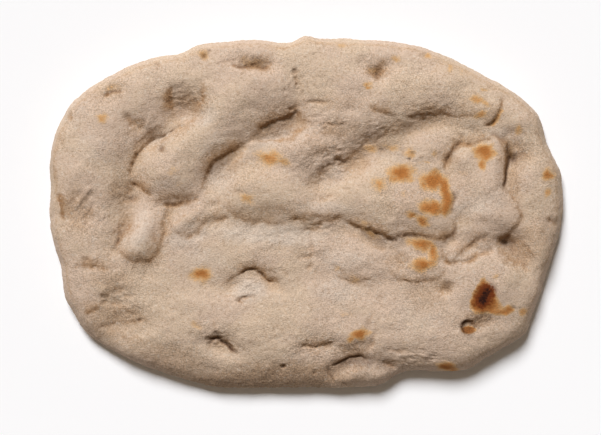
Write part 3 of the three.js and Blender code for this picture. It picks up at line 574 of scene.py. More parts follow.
# Where the skin is finely wrinkled: x, y, half length, half width, which way the wrinkles run and how deep.
wrinkledAreas = [
    (14, 30, 18, 12, 12, 0.9), (12, 52, 18, 9, 4, 0.7), (64, -86, 14, 7, 4, 0.8), (-126, 2, 10, 16, 55, 0.8),
    (-112, -50, 16, 12, -25, 0.7), (124, -22, 10, 10, -40, 0.5), (40, 44, 16, 8, 20, 0.8),
    (68, 57, 16, 8, 8, 0.5), (-72, 66, 12, 8, 20, 0.7), (-96, 44, 12, 8, 48, 0.7), (-106, 8, 10, 8, 20, 0.8),
    (10, -8, 18, 5, 0, 0.8), (-106, -12, 10, 6, 50, 0.9), (121, 34, 9, 8, 70, 0.9),
    (-50, -74, 9, 6, -20, 0.7), (64, 32, 12, 7, 0, 0.7), (-16, 50, 14, 6, 20, 0.6),
    (-48, 27, 10, 5, 42, 0.5), (-20, -14, 30, 8, 0, 0.5), (-60, -14, 16, 8, 20, 0.5),
    (50, -25, 14, 8, -10, 0.5), (100, -22, 12, 6, 15, 0.7), (-30, -42, 16, 8, 0, 0.5),
    (-76, 5, 20, 4, 4, 0.8), (4, -78, 22, 6, 0, 0.5), (90, 40, 12, 6, 20, 0.6), (46, -60, 12, 12, 60, 0.4),
    (-4, 72, 8, 14, 80, 0.6), (-130, -30, 12, 6, -8, 0.5), (100, -62, 14, 6, 15, 0.6),
    (60, 6, 20, 10, -5, 0.4), (106, 8, 12, 10, 10, 0.4),
]


def rounded(line, passes=2):
    # Cuts the corners of a line, so that it bends smoothly through its points.
    points = np.array(line, float)
    for _ in range(passes):
        near, far = points[:-1], points[1:]
        middle = np.stack([near * 0.75 + far * 0.25, near * 0.25 + far * 0.75], axis=1).reshape(-1, 2)
        points = np.vstack([points[:1], middle, points[-1:]])
    return points


def measureFrom(line, places, within):
    # For the places within reach of a line: which they are, how far off they are, which side they are on
    # (left is +1), the way from the line to its left side, and how far along it they lie, in millimetres and
    # as a share of its length.
    points = rounded(line)
    low, high = points.min(axis=0) - within, points.max(axis=0) + within
    near = np.flatnonzero(np.all((places > low) & (places < high), axis=1))
    spots = places[near]
    best = np.full(len(near), np.inf)
    side, along = np.zeros(len(near)), np.zeros(len(near))
    across = np.zeros((len(near), 2))
    walked = 0
    for start, end in zip(points[:-1], points[1:]):
        run = end - start
        length = np.hypot(*run)
        share = np.clip((spots - start) @ run / length ** 2, 0, 1)
        offset = spots - start - share[:, None] * run
        distance = np.hypot(offset[:, 0], offset[:, 1])
        left = np.array([-run[1], run[0]]) / length
        closer = distance < best
        best[closer] = distance[closer]
        side[closer] = np.sign(offset[closer] @ left)
        across[closer] = left
        along[closer] = walked + share[closer] * length
        walked += length
    return near, best, side, across, along, along / walked


def bell(distance, reach):
    return np.exp(-(distance / reach) ** 2)


def ramp(values, low, high):
    # 0 below the first value and 1 above the second
    return np.clip((values - low) / (high - low), 0, 1)


def distanceTo(places, x, y):
    return np.hypot(places[:, 0] - x, places[:, 1] - y)


def ovalDistance(places, x, y, halfLength, halfWidth, degrees):
    # How far each place lies from the middle of a turned oval; 1 is its edge.
    turn = math.radians(degrees)
    dx, dy = places[:, 0] - x, places[:, 1] - y
    lengthwise = (dx * math.cos(turn) + dy * math.sin(turn)) / halfLength
    return np.hypot(lengthwise, (dy * math.cos(turn) - dx * math.sin(turn)) / halfWidth)


def endFade(share, sharpness=5):
    # 1 along most of a line, falling to 0 at its two ends
    return np.clip(np.minimum(share, 1 - share) * sharpness, 0, 1) ** 0.7


def ragged(along, phase, amount, length):
    # A strength that comes and goes along a line
    wave = np.sin(along / length * 2.1 + phase) + 0.7 * np.sin(along / length * 4.7 + phase * 2.3)
    return 1 + amount * wave * 0.6


def vectorsOf(points, name):
    # The places ("co") or the normals ("vector") of a mesh's points, one row each
    values = np.empty(len(points) * 3)
    points.foreach_get(name, values)
    return values.reshape(-1, 3)


def placesOf(piece):
    return vectorsOf(piece.data.vertices, "co") / mm


def uprightOf(piece):
    # 1 where the skin faces up, 0 where it faces sideways
    return vectorsOf(piece.data.vertex_normals, "vector")[:, 2]


def noiseAt(places, size, stretch=1, degrees=0, layer=0):
    # A smooth random field from about -1 to 1. Its lumps are stretched along the turned direction.
    turn = math.radians(degrees)
    lengthwise = (places[:, 0] * math.cos(turn) + places[:, 1] * math.sin(turn)) / (size * stretch)
    across = (places[:, 1] * math.cos(turn) - places[:, 0] * math.sin(turn)) / size
    return np.array([noise.noise((u, v, layer * 7.3)) for u, v in zip(lengthwise.tolist(), across.tolist())])


def seenFromAbove(places):
    # Where the camera sees each place, measured at the rim's height, as the lists above are written.
    over = np.array(cameraPlan["overPoint"])
    closer = cameraPlan["distance"] / (cameraPlan["distance"] - (places[:, 2:] - cameraPlan["rimHeight"]))
    return over + (places[:, :2] - over) * closer


def strayed(places, size, length):
    # The places, each moved a little at random, so that what is drawn there gets an uneven edge.
    shifts = [noiseAt(places, length, layer=layer) * size * 2 for layer in (1, 2)]
    return places[:, :2] + np.stack(shifts, axis=1)


def paintGroup(piece, name, weights, levels=1000):
    group = piece.vertex_groups.new(name=name)
    steps = np.round(np.clip(weights, 0, 1) * levels).astype(int)
    order = np.argsort(steps, kind="stable")
    values, starts = np.unique(steps[order], return_index=True)
    for value, members in zip(values, np.split(order, starts[1:])):
        if value:
            group.add(members.tolist(), value / levels, "REPLACE")
    return name


def applyModifier(piece, kind, **settings):
    bpy.context.view_layer.objects.active = piece
    bpy.ops.object.modifier_add(type=kind)
    modifier = piece.modifiers[-1]
    for name, value in settings.items():
        setattr(modifier, name, value)
    bpy.ops.object.modifier_apply(modifier=modifier.name)


def applyPainted(piece, kind, weights, **settings):
    # Applies a modifier to the painted part of a piece only
    group = paintGroup(piece, "painted", weights)
    applyModifier(piece, kind, vertex_group=group, **settings)
    piece.vertex_groups.remove(piece.vertex_groups[group])


def displace(piece, amount, weights, direction="Z", texture=None):
    # Moves the painted part of a piece by up to amount millimetres.
    settings = {"texture": texture, "texture_coords": "LOCAL"} if texture else {}
    middle = 0.5 if texture else 0
    applyPainted(
        piece, "DISPLACE", weights, direction=direction, strength=amount * mm, mid_level=middle, **settings,
    )


def copyOfNode(nodeName, pieceName):
    bpy.ops.object.select_all(action="DESELECT")
    node = frame["nodes"][nodeName]
    node.select_set(True)
    bpy.context.view_layer.objects.active = node
    bpy.ops.object.duplicate()
    piece = bpy.context.active_object
    bpy.ops.object.parent_clear(type="CLEAR_KEEP_TRANSFORM")
    for mark in [key for key in piece.keys() if key.startswith("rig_")]:
        del piece[mark]
    piece.name = pieceName
    piece.data.name = pieceName
    piece.data.materials.clear()
    bpy.ops.mesh.customdata_custom_splitnormals_clear()
    bpy.ops.object.mode_set(mode="EDIT")
    bpy.ops.mesh.select_all(action="SELECT")
    bpy.ops.mesh.remove_doubles(threshold=0.001 * mm)
    bpy.ops.object.mode_set(mode="OBJECT")
    return piece


def levelAround(places, spread):
    # The height of the top around each place, evened out over the cells of a coarse grid
    cell, halfLength, halfWidth = 2.0, 160, 116
    upper = places[:, 2] > dough["topFrom"]
    bins = [np.arange(-half, half + 1, cell) for half in (halfLength, halfWidth)]
    sums = []
    for weights in (places[upper, 2], None):
        cells, _, _ = np.histogram2d(places[upper, 0], places[upper, 1], bins, weights=weights)
        for _ in range(spread):
            for axis in (0, 1):
                cells = (np.roll(cells, 1, axis) + 2 * cells + np.roll(cells, -1, axis)) / 4
        sums.append(cells)
    level = sums[0] / np.maximum(sums[1], 1e-6)
    column = np.clip(((places[:, 0] + halfLength) / cell).astype(int), 0, level.shape[0] - 1)
    row = np.clip(((places[:, 1] + halfWidth) / cell).astype(int), 0, level.shape[1] - 1)
    return np.where(upper, level[column, row], places[:, 2])


def foldRelief(places):
    # How much each place rises or sinks, and how far it is pulled sideways.
    height = np.zeros(len(places))
    pull = np.zeros((len(places), 2))
    for number, (groove, overhang, rise, sink, ease, _, line) in enumerate(folds.values()):
        near, distance, side, across, along, share = measureFrom(line, places, dough["foldWithin"])
        lip = side >= 0
        ends = endFade(share)
        strength = ends * ragged(along, number, dough["raggedness"], dough["raggedLength"])
        height[near] -= groove * bell(distance, dough["grooveReach"]) * strength
        risen = rise * (1 - np.exp(-distance / dough["lipReach"])) * bell(distance, dough["lipFade"])
        height[near] += np.where(lip, risen, -sink * bell(distance, dough["floorReach"])) * ends
        height[near] -= ease * bell(distance - dough["easeAt"], dough["easeReach"]) * lip * ends
        lean = bell(distance - dough["overhangAt"], dough["overhangWidth"]) * lip
        pull[near] -= across * (overhang * lean * strength)[:, None]
    return height, pull


def lineRelief(lines, places, within, sharpness, raggedness=0):
    # How much a set of lines, each with its strength and reach, raises each place
    height = np.zeros(len(places))
    for strength, reach, line in lines:
        near, distance, _, _, along, share = measureFrom(line, places, within)
        fade = endFade(share, sharpness) * ragged(along, line[0][0], raggedness, dough["creaseRaggedLength"])
        height[near] += strength * bell(distance, reach) * fade
    return height


def pitShape(places, x, y, radius):
    return bell(distanceTo(places, x, y), radius * dough["pitReach"])


def smallRelief(places):
    height = -lineRelief(creases, places, within=8, sharpness=3, raggedness=dough["creaseRaggedness"])
    opened = [(depth, reach, line) for depth, _, reach, line in cracks]
    height -= lineRelief(opened, places, within=6, sharpness=4)
    height += lineRelief(ridges, places, within=10, sharpness=3)
    for *oval, rise in swellings:
        height += rise * bell(ovalDistance(places, *oval), 1)
    for x, y, radius, depth, _ in pits:
        height -= depth * pitShape(places, x, y, radius)
    return height


def bubbleRelief(places):
    away = distanceTo(places, *bubble["centre"])
    height = bubble["rim"] * bell(away - bubble["radius"] - bubble["rimAt"], bubble["rimReach"])
    height -= bubble["hollow"] * np.clip((bubble["radius"] - away) / bubble["wall"], 0, 1)
    *lens, rise = bubble["lens"]
    return height + rise * bell(ovalDistance(places, *lens), 1)


def shapeSkin(piece, upperSide):
    solid = placesOf(piece)
    seen = seenFromAbove(solid)
    places = strayed(seen, dough["straySize"], dough["strayLength"])
    height, pull = foldRelief(places)
    height += smallRelief(places) + bubbleRelief(seen)
    height -= dough["flattening"] * (solid[:, 2] - levelAround(solid, dough["flatteningSpread"]))
    height *= upperSide
    deepest, highest = -height.min(), height.max()
    displace(piece, -deepest, -height / deepest)
    displace(piece, highest, height / highest)
    furthest = np.abs(pull).max()
    for axis, letter in enumerate("XY"):
        for sign in (1, -1):
            displace(piece, sign * furthest, sign * pull[:, axis] * upperSide / furthest, letter)


def bulgeRim(piece):
    # The side of the rim stands out over its foot, so that from above its upper half reaches the outline.
    height = placesOf(piece)[:, 2]
    sideways = 1 - np.abs(uprightOf(piece))
    low, high = dough["bulgeFrom"], dough["bulgeTo"]
    displace(piece, dough["bulge"], ramp(height, 0, low) * (1 - ramp(height, low, high)) * sideways, "NORMAL")


def roughenSkin(piece):
    places = placesOf(piece)
    offBase = ramp(places[:, 2], *dough["unevenHeights"])
    for size, depth in dough["unevenness"]:
        lumps = bpy.data.textures.new(f"lumps {size}", "CLOUDS")
        lumps.noise_scale = size * mm
        lumps.noise_depth = 2
        displace(piece, depth * 2, offBase, "NORMAL", lumps)
    depth = np.zeros(len(places))
    stretch = dough["wrinkleStretch"]
    for *oval, deep in wrinkledAreas:
        away = ovalDistance(places, *oval)
        near = np.flatnonzero((away < 2) & (places[:, 2] > dough["topFrom"]))
        field = noiseAt(places[near], dough["wrinkleSize"], stretch, oval[-1], layer=3)
        field += 0.5 * noiseAt(places[near], dough["wrinkleSize"] / 2, stretch, oval[-1] + 20, layer=4)
        ridged = np.clip(1 - np.abs(field) * dough["wrinkleSharpness"], 0, 1) ** 1.5
        depth[near] = np.maximum(depth[near], deep * ridged * bell(away[near], 1))
    deepest = depth.max()
    displace(piece, -deepest, depth / deepest)


# Broad fields that lie under loose flour, pale and smooth: x, y, half length, half width, turn in degrees and
# how thick. Then the tan and sandy fields: where the flour has been rubbed off, and, along the lower edge
# where the rim turns away from the lamp, painted shade.
flouredFields = [
    (-22, -13, 36, 7, -2, 0.6), (-70, -14, 15, 8, 15, 0.5), (-60, -28, 18, 8, 0, 0.35),
    (22, -28, 14, 8, 0, 0.4), (18, -46, 16, 9, 0, 0.4), (-80, 16, 14, 5, 0, 0.35),
    (-54, 40, 8, 14, -40, 0.35), (12, 2, 20, 4, 0, 0.45), (-62, 55, 12, 6, 20, 0.5),
    (-84, 44, 10, 6, 45, 0.45), (-14, 44, 18, 5, 18, 0.6), (-98, -10, 8, 14, -20, 0.5),
    (-34, -46, 12, 7, 0, 0.6), (30, -93, 16, 6, 5, 0.4), (-136, 58, 8, 14, -30, 0.3),
    (14, 20, 12, 6, 20, 0.4), (66, -60, 16, 16, 0, 0.35), (92, -26, 14, 4, 20, 0.6),
    (34, -10, 20, 4, -20, 0.4), (100, 4, 22, 7, 12, 0.4), (50, 33, 20, 4, -6, 0.35),
    (-50, 20, 10, 10, 30, 0.5), (-126, 38, 12, 12, 0, 0.3), (112, 47, 10, 3, -10, 0.4),
]
sandAndShadeFields = [
    (100, 61, 16, 8, -20, 0.5), (58, 2, 18, 6, -6, 0.4), (101, -62, 12, 7, 15, 0.7), (80, -44, 7, 6, 0, 0.6),
    (102, 46, 12, 5, 0, 0.35), (124, 34, 12, 8, 0, 0.6), (-116, 70, 14, 8, 30, 0.4),
    (-134, 0, 10, 16, 10, 0.6), (-110, -60, 20, 9, -10, 0.6), (-5, -94, 46, 7, 0, 0.7),
    (100, -16, 14, 5, 10, 0.4), (136, -16, 8, 14, 0, 0.5), (20, 48, 16, 6, 0, 0.5), (62, 74, 24, 8, 0, 0.25),
    (-76, -86, 22, 8, -22, 0.5), (90, 18, 12, 8, 0, 0.3), (-114, -40, 16, 8, 0, 0.5),
    (-108, 14, 12, 8, 40, 0.6), (8, 38, 14, 6, 10, 0.4), (70, 60, 18, 5, 0, 0.5), (-14, 60, 18, 5, 20, 0.4),
    (124, -24, 12, 9, -40, 0.7), (-30, 90, 12, 4, 0, 0.5), (42, 85, 9, 7, 0, 0.5), (-20, 2, 18, 4, 0, 0.5),
    (-82, -8, 4, 10, -12, 0.6), (-96, -30, 12, 4, 0, 0.5), (-70, 66, 12, 7, 15, 0.5),
    (28, -80, 14, 5, 0, 0.5), (6, -78, 14, 5, 0, 0.5), (-100, 50, 9, 5, 40, 0.5), (0, -24, 7, 6, 0, 0.4),
    (-30, -99, 45, 6, 0, 0.9), (-78, -91, 20, 6, -25, 0.6), (70, -50, 14, 12, 0, 0.5),
    (55, -30, 10, 6, 0, 0.5), (130, -14, 8, 6, 0, 0.6), (122, 16, 4, 10, 0, 0.7), (-10, -97, 40, 6, 0, 1),
    (-118, -66, 14, 10, -35, 0.5), (18, 64, 22, 6, 0, 0.4), (-35, 20, 16, 8, 0, 0.3),
    (66, 10, 12, 6, 0, 0.4), (46, 14, 6, 8, 0, 0.4), (-90, -82, 24, 8, -30, 0.4), (66, -30, 14, 8, 0, 0.3),
]

# Browned spots: x, y, half length and half width out to where they fade, turn in degrees and how brown.
toastedSpots = [
    (-21.5, 32, 9, 5.4, -16, 0.66), (-13.6, 29.4, 6, 3, -20, 0.45), (-35, 8.5, 6.5, 5, 0, 0.42),
    (-120.6, 55, 5, 3.6, -20, 0.5), (-62, -36.8, 7, 5, 0, 0.85), (-58, -38, 3, 2.4, 0, 0.4),
    (31, -71.6, 6.6, 3.4, 12, 1), (25.6, -74.4, 3.4, 2.4, 20, 0.7), (55.4, 23, 8.4, 5.6, 14, 1.05),
    (60, 20, 4.4, 3.2, 0, 0.5), (50.6, 19, 4, 3.4, 0, 0.6), (42.4, 16.6, 5.4, 5, 0, 0.5),
    (74, 18.4, 9, 5.6, -12, 0.95), (75, 23, 4, 3.6, 0, 0.6), (69, 15, 4.4, 3.4, 0, 0.7),
    (73.4, 2.4, 8, 4.8, -14, 1.05), (79, 0.6, 4.6, 3, 0, 0.7), (62, -2, 5, 3, -30, 0.7),
    (68, -5, 5.6, 3.2, -35, 0.85), (104.6, 35, 8, 5.4, 0, 0.95), (103.6, 29, 3, 5.4, 0, 0.75),
    (108, 38, 3.4, 3, 0, 0.6), (100, 66, 6.4, 2.8, -15, 0.55), (105, 63.4, 4, 2.2, -30, 0.55),
    (102, 57.4, 4.4, 2.2, 0, 0.62), (38, 37.4, 5, 3.6, 0, 0.42), (50, 38, 6.6, 3, 0, 0.36),
    (61, 34.6, 4, 4, 0, 0.42), (75, 34.4, 3.4, 3.4, 0, 0.32), (142, 22, 4.2, 3.8, 0, 0.8),
    (141.2, 11, 2.2, 4.6, -20, 0.46), (124, 48, 3.2, 4.2, 0, 0.4), (82, -90.6, 5.6, 3.4, -10, 1.05),
    (86, -92.6, 3.4, 2.4, 0, 0.7), (36, 75.6, 3, 2.2, 0, 0.5), (37, 73, 2.2, 1.6, 0, 0.6),
    (127, -59, 2.2, 3.6, 10, 0.52), (-78, 24, 4, 4, 0, 0.26), (-65, -66.4, 4.6, 2.6, -20, 0.3),
    (84, 84, 3.2, 2.2, 0, 0.32), (91, 83, 2.4, 2.2, 0, 0.3), (70.5, 91.4, 3, 2.2, 0, 0.5),
    (20, 97, 5, 2, 0, 0.3), (52, 90.4, 4.4, 3.2, 0, 0.36), (105, 72, 3.6, 1.6, 0, 0.36),
    (23, -60, 5, 2, 0, 0.22), (28, -39.4, 6, 2.6, -8, 0.26), (18, -33, 4, 2.6, 0, 0.2),
    (92, 23, 4.4, 3, 0, 0.22), (-75, 16, 4.4, 3, 0, 0.22), (57, 10, 4.4, 3.4, 0, 0.28),
    (-60, 92, 4, 3, 0, 0.4), (-115, 73, 5, 2.6, 20, 0.34), (-31, 88.4, 10, 4, 0, 0.25),
    (67.6, -18.8, 10, 4, -10, 0.85), (74.4, -23.4, 3.8, 7, 0, 0.75), (68, -30.8, 6.4, 4.4, 10, 0.95),
    (73.6, -29, 3.6, 3.4, 0, 0.6), (119.6, 34, 2.8, 6, 0, 0.4), (38, -12.6, 8, 2, -30, 0.4),
    (33, -5.6, 8, 2, -20, 0.28), (111.6, -38.6, 2, 3.4, -20, 0.34), (40, 82, 5, 3, 0, 0.3),
]

# Browned strokes: the right side of the horseshoe on the big roll, and thin browned edges. How brown, reach
# and line.
toastedStrokes = [
    (0.9, 3.3, [(77, 20), (80, 16.4), (82, 12), (82.6, 6), (81, 1)]),
    (0.55, 1.3, [(114, 59), (112, 56), (108.5, 52.5)]),
    (0.3, 0.9, [(66, 30), (73, 29.6)]),
    (0.8, 2, [(106, -57), (112, -57.6), (116, -58.8), (119.8, -57.8)]),
]

# The scorch: a three-cornered burn, amber at its edges, then brown, with a black heart.
scorch = {
    "corners": [(103.8, -36.4), (95, -53), (98, -59.6), (117, -59.8), (117, -56.8), (106, -40)],
    "edge": 3.4,  # how far in from its edge the flour is still showing through
    "edgeBrown": 0.55,
    "coreBrown": 0.75,
    "coreReach": 7.5,
    "heart": [(105.8, -47), (104.6, -49.6), (103.2, -52)],
    "heartReach": 5.4,
}


def insideOf(corners, places):
    # How far inside a convex outline each place lies; its corners are given anticlockwise.
    depth = np.full(len(places), np.inf)
    for start, end in zip(corners, corners[1:] + corners[:1]):
        run = np.subtract(end, start)
        left = np.array([-run[1], run[0]]) / np.hypot(*run)
        depth = np.minimum(depth, (places - start) @ left)
    return depth


def fieldLook(fields, flat):
    look = np.zeros(len(flat))
    for *oval, strength in fields:
        look = np.maximum(look, strength * np.clip(dough["fieldEdge"] - ovalDistance(flat, *oval), 0, 1))
    return look


def lineLook(lines, places, within, fadeOf):
    # How strongly the strongest of a set of lines marks each place
    look = np.zeros(len(places))
    for strength, reach, line in lines:
        near, distance, _, _, _, share = measureFrom(line, places, within)
        look[near] = np.maximum(look[near], strength * bell(distance, reach) * fadeOf(share))
    return look


def toastedLook(flat):
    toasted = lineLook(toastedStrokes, flat, 12, np.ones_like)
    for *oval, brown in toastedSpots:
        spot = bell(ovalDistance(flat, *oval), dough["spotReach"])
        toasted = np.maximum(toasted, brown * dough["spotBrown"] * spot)
    return toasted


def scorchedLook(flat):
    # How brown the scorch is, and how black its heart
    inside = ramp(insideOf(scorch["corners"], flat), -1, scorch["edge"] - 1)
    near, distance, _, _, _, _ = measureFrom(scorch["heart"], flat, 20)
    burnt, heart = np.zeros(len(flat)), np.zeros(len(flat))
    core = scorch["coreBrown"] * bell(distance, scorch["coreReach"])
    burnt[near] = inside[near] * (scorch["edgeBrown"] + core)
    heart[near] = bell(distance, scorch["heartReach"])
    return burnt, heart


def paintedShadeLook(places):
    # Painted shade inside the open cracks and pores, and along the shaded strips
    lines = [(shadeAndLensBrown, reach, line) for _, shadeAndLensBrown, reach, line in cracks] + shades
    shadeAndLensBrown = lineLook(lines, places, 6, lambda share: endFade(share, 6))
    for x, y, radius, _, darkness in pits:
        shadeAndLensBrown = np.maximum(shadeAndLensBrown, darkness * pitShape(places, x, y, radius))
    return shadeAndLensBrown


def bubbleLook(places):
    # A crescent of painted shade along the bubble's left wall, which faces away from the lamp, the dark line
    # under its lens, and the brown lens
    x, y = bubble["centre"]
    outside = distanceTo(places, x, y) - bubble["radius"]
    leftward = np.clip((x + 2.5 - places[:, 0]) / bubble["radius"], *bubble["crescentDark"])
    crescent = leftward * bell(outside + 0.5, bubble["crescentReach"])
    line = bubble["lineDark"] * bell(outside, bubble["lineReach"]) * ramp(y - places[:, 1], 1, 3)
    browned = bubble["lensBrown"] * np.clip((1.3 - ovalDistance(places, *bubble["lens"][:5])) * 3, 0, 1)
    return np.maximum.reduce([crescent, line, bubble["lensDark"] * browned]), browned


def creaseShadeLook(places):
    # Painted shade: the thin dark lines in the folds and creases
    reach = dough["lineReach"]
    lines = [(depth * dough["creaseShadeStrength"], reach, line) for depth, _, line in creases]
    creaseShade = lineLook(lines, places, 6, lambda share: endFade(share, 3))
    for number, (groove, *_, line) in enumerate(folds.values()):
        near, distance, _, _, along, share = measureFrom(line, places, 8)
        strength = endFade(share) * ragged(along, number, dough["raggedness"], dough["raggedLength"])
        creaseShade[near] = np.maximum(creaseShade[near], bell(distance, reach) * strength * min(1, groove))
    return np.clip(creaseShade, 0, 1)


def foldAndDentShadeLook(places):
    # Painted shade on the flanks above the folds, on the floors just beside them, and on the upper sides of
    # the dents, which face away from the lamp
    look = np.zeros(len(places))
    for *_, bare, line in folds.values():
        near, distance, side, _, _, share = measureFrom(line, places, dough["foldWithin"])
        reach = np.where(side > 0, dough["flankShadeReach"], dough["floorShadeReach"])
        look[near] = np.maximum(look[near], bare * bell(distance, reach) * endFade(share, 4))
    for x, y, halfLength, halfWidth, degrees, rise in swellings:
        if rise < 0 and halfWidth < dough["widestDent"]:
            away = ovalDistance(places, x, y + halfWidth * 0.7, halfLength, halfWidth * 0.8, degrees)
            look = np.maximum(look, min(dough["mostDentShade"], -rise * dough["dentShade"]) * bell(away, 0.9))
    return look


def hollowLook(places):
    # How far each place lies below the dough around it, from 0 to 1; 0.5 is level with it.
    height, half = places[:, 2], dough["hollowDepth"] / 2
    sunk = levelAround(places, dough["hollowSpread"]) - height
    return ramp(sunk, -half, half) * ramp(height, *dough["hollowHeights"])


def lookOf(piece):
    # Works out where the dough is browned, burnt, hollow or steep, where its skin is bare, and where shade is
    # painted into its creases, cracks, pores and shaded flanks. Each becomes an attribute.
    places = placesOf(piece)
    seen = seenFromAbove(places)
    flat = seen
    for size, length in dough["edgeStrays"]:
        flat = strayed(flat, size, length)
    straight = strayed(seen, dough["straySize"], dough["strayLength"])
    burnt, heart = scorchedLook(strayed(seen, *dough["scorchStray"]))
    crescent, lens = bubbleLook(seen)
    leaning = np.clip((1 - uprightOf(piece)) / dough["steepness"], 0, 1)
    looks = {
        "toasted": np.maximum.reduce([toastedLook(flat), burnt, lens]),
        "scorched": heart,
        "creaseShade": creaseShadeLook(straight),
        "shadeAndLensBrown": np.maximum(paintedShadeLook(straight), crescent),
        "hollow": hollowLook(places),
        "floured": fieldLook(flouredFields, flat),
        "sandAndShade": fieldLook(sandAndShadeFields, flat),
        "bare": foldAndDentShadeLook(flat),
        "steep": leaning * ramp(places[:, 2], *dough["steepHeights"]),
    }
    for name, values in looks.items():
        values[places[:, 2] < dough["lookFrom"]] = 0
        attribute = piece.data.attributes.new(name, "FLOAT", "POINT")
        attribute.data.foreach_set("value", values.astype(np.float32))


# Baked wheat crust under flour: matt and dry. Flour lies on what faces up and makes it pale, and the steep
# flanks show the tan skin. Shade is painted into the creases, cracks, pores, hollows and shaded flanks.
crustPlan = {
    "pale": "#CCB49B",
    # the colour of the painted shade along the folds and creases
    "crease": "#98724E",
    "creaseCover": 0.8,
    # the colour of the painted shade, and of the darkest brown of the bubble's lens
    "shadeAndLensBrown": "#4A2C18",
    "speck": "#94704C",
    "baseBrown": "#B9976F",
    # Coats: the colour, how strong its look is where it sets in and where it is full, and how much it covers.
    "palePink": ("#CBB29C", 0.38, 0.62, 1),
    # painted shade in the hollows
    "hollowShade": ("#BFA182", 0.5, 0.9, 0.7),
    "flour": ("#D4C4B4", 0.1, 0.7, 0.65),
    # tan sandy skin, and painted shade along the lower edge
    "tanSandAndShade": ("#B5977A", 0.1, 0.8, 0.75),
    # painted shade on the flanks and dent walls, and bare skin on the steep walls
    "bare": ("#AF8B68", 0.1, 0.95, 1),
    "crumb": ("#DCD0C0", 0.6, 0.72, 0.35),
    "firstBrown": ("#CDA678", 0.06, 0.45, 1),
    "midBrown": ("#C08B55", 0.28, 0.66, 1),
    "fullBrown": ("#AC6E36", 0.52, 0.92, 1),
    "deepBrown": ("#844F22", 0.98, 1.3, 1),
    "scorchEdge": ("#70340F", 0.12, 0.66, 1),
    "scorch": ("#280C03", 0.7, 1.05, 1),
    # How far the mottle, the crumbs and the grain shift the edges of each painted look
    "shifts": {
        "floured": (0.5, 0, 0),
        "sandAndShade": (0.5, 0, 0),
        "bare": (0.6, 0, 0),
        "toasted": (0.45, 0.3, 0.35),
        "scorched": (0, 0.5, 0.5),
    },
    "toastedOnset": (0.02, 0.12),  # where the painted brown is weaker than this, the shifts brown nothing
    "scorchedOnset": (0.02, 0.2),
    "steepBare": 0.6,
    "specks": (0.44, 0.3),  # the values of the crumbs between which specks set in
    "bareSpecks": (0.5, 0.34),  # and those between which they set in where the skin is bare and where shade is painted
    "speckCover": 0.3,
    "baseHeights": (1.0, 0.1),  # the base's brown fades in between these heights
    "baseCover": 0.8,
    "baseFlour": (0.74, 1.06),  # a lower first value leaves more flour on the base
    "grainRange": (0.28, 0.72),
    "grainShade": (-0.26, 0.16),  # how much darker and lighter the grain makes the colour
    "sandAndShadeGrain": 0.9,  # how much stronger the grain is in the sandy fields and in the painted shade along the lower edge
    "roughness": 0.9,
    "patchSize": 34,  # how large the paler and pinker fields are
    "mottleSize": 5,
    "sandySize": 22,  # how large the smoother and the sandier fields are
    "grainSize": 0.8,  # flour is finer, but this is as fine as the picture shows
    "crumbSize": 1.5,
    "mottleHeight": 0.18,
    "grainHeight": 0.5,
}


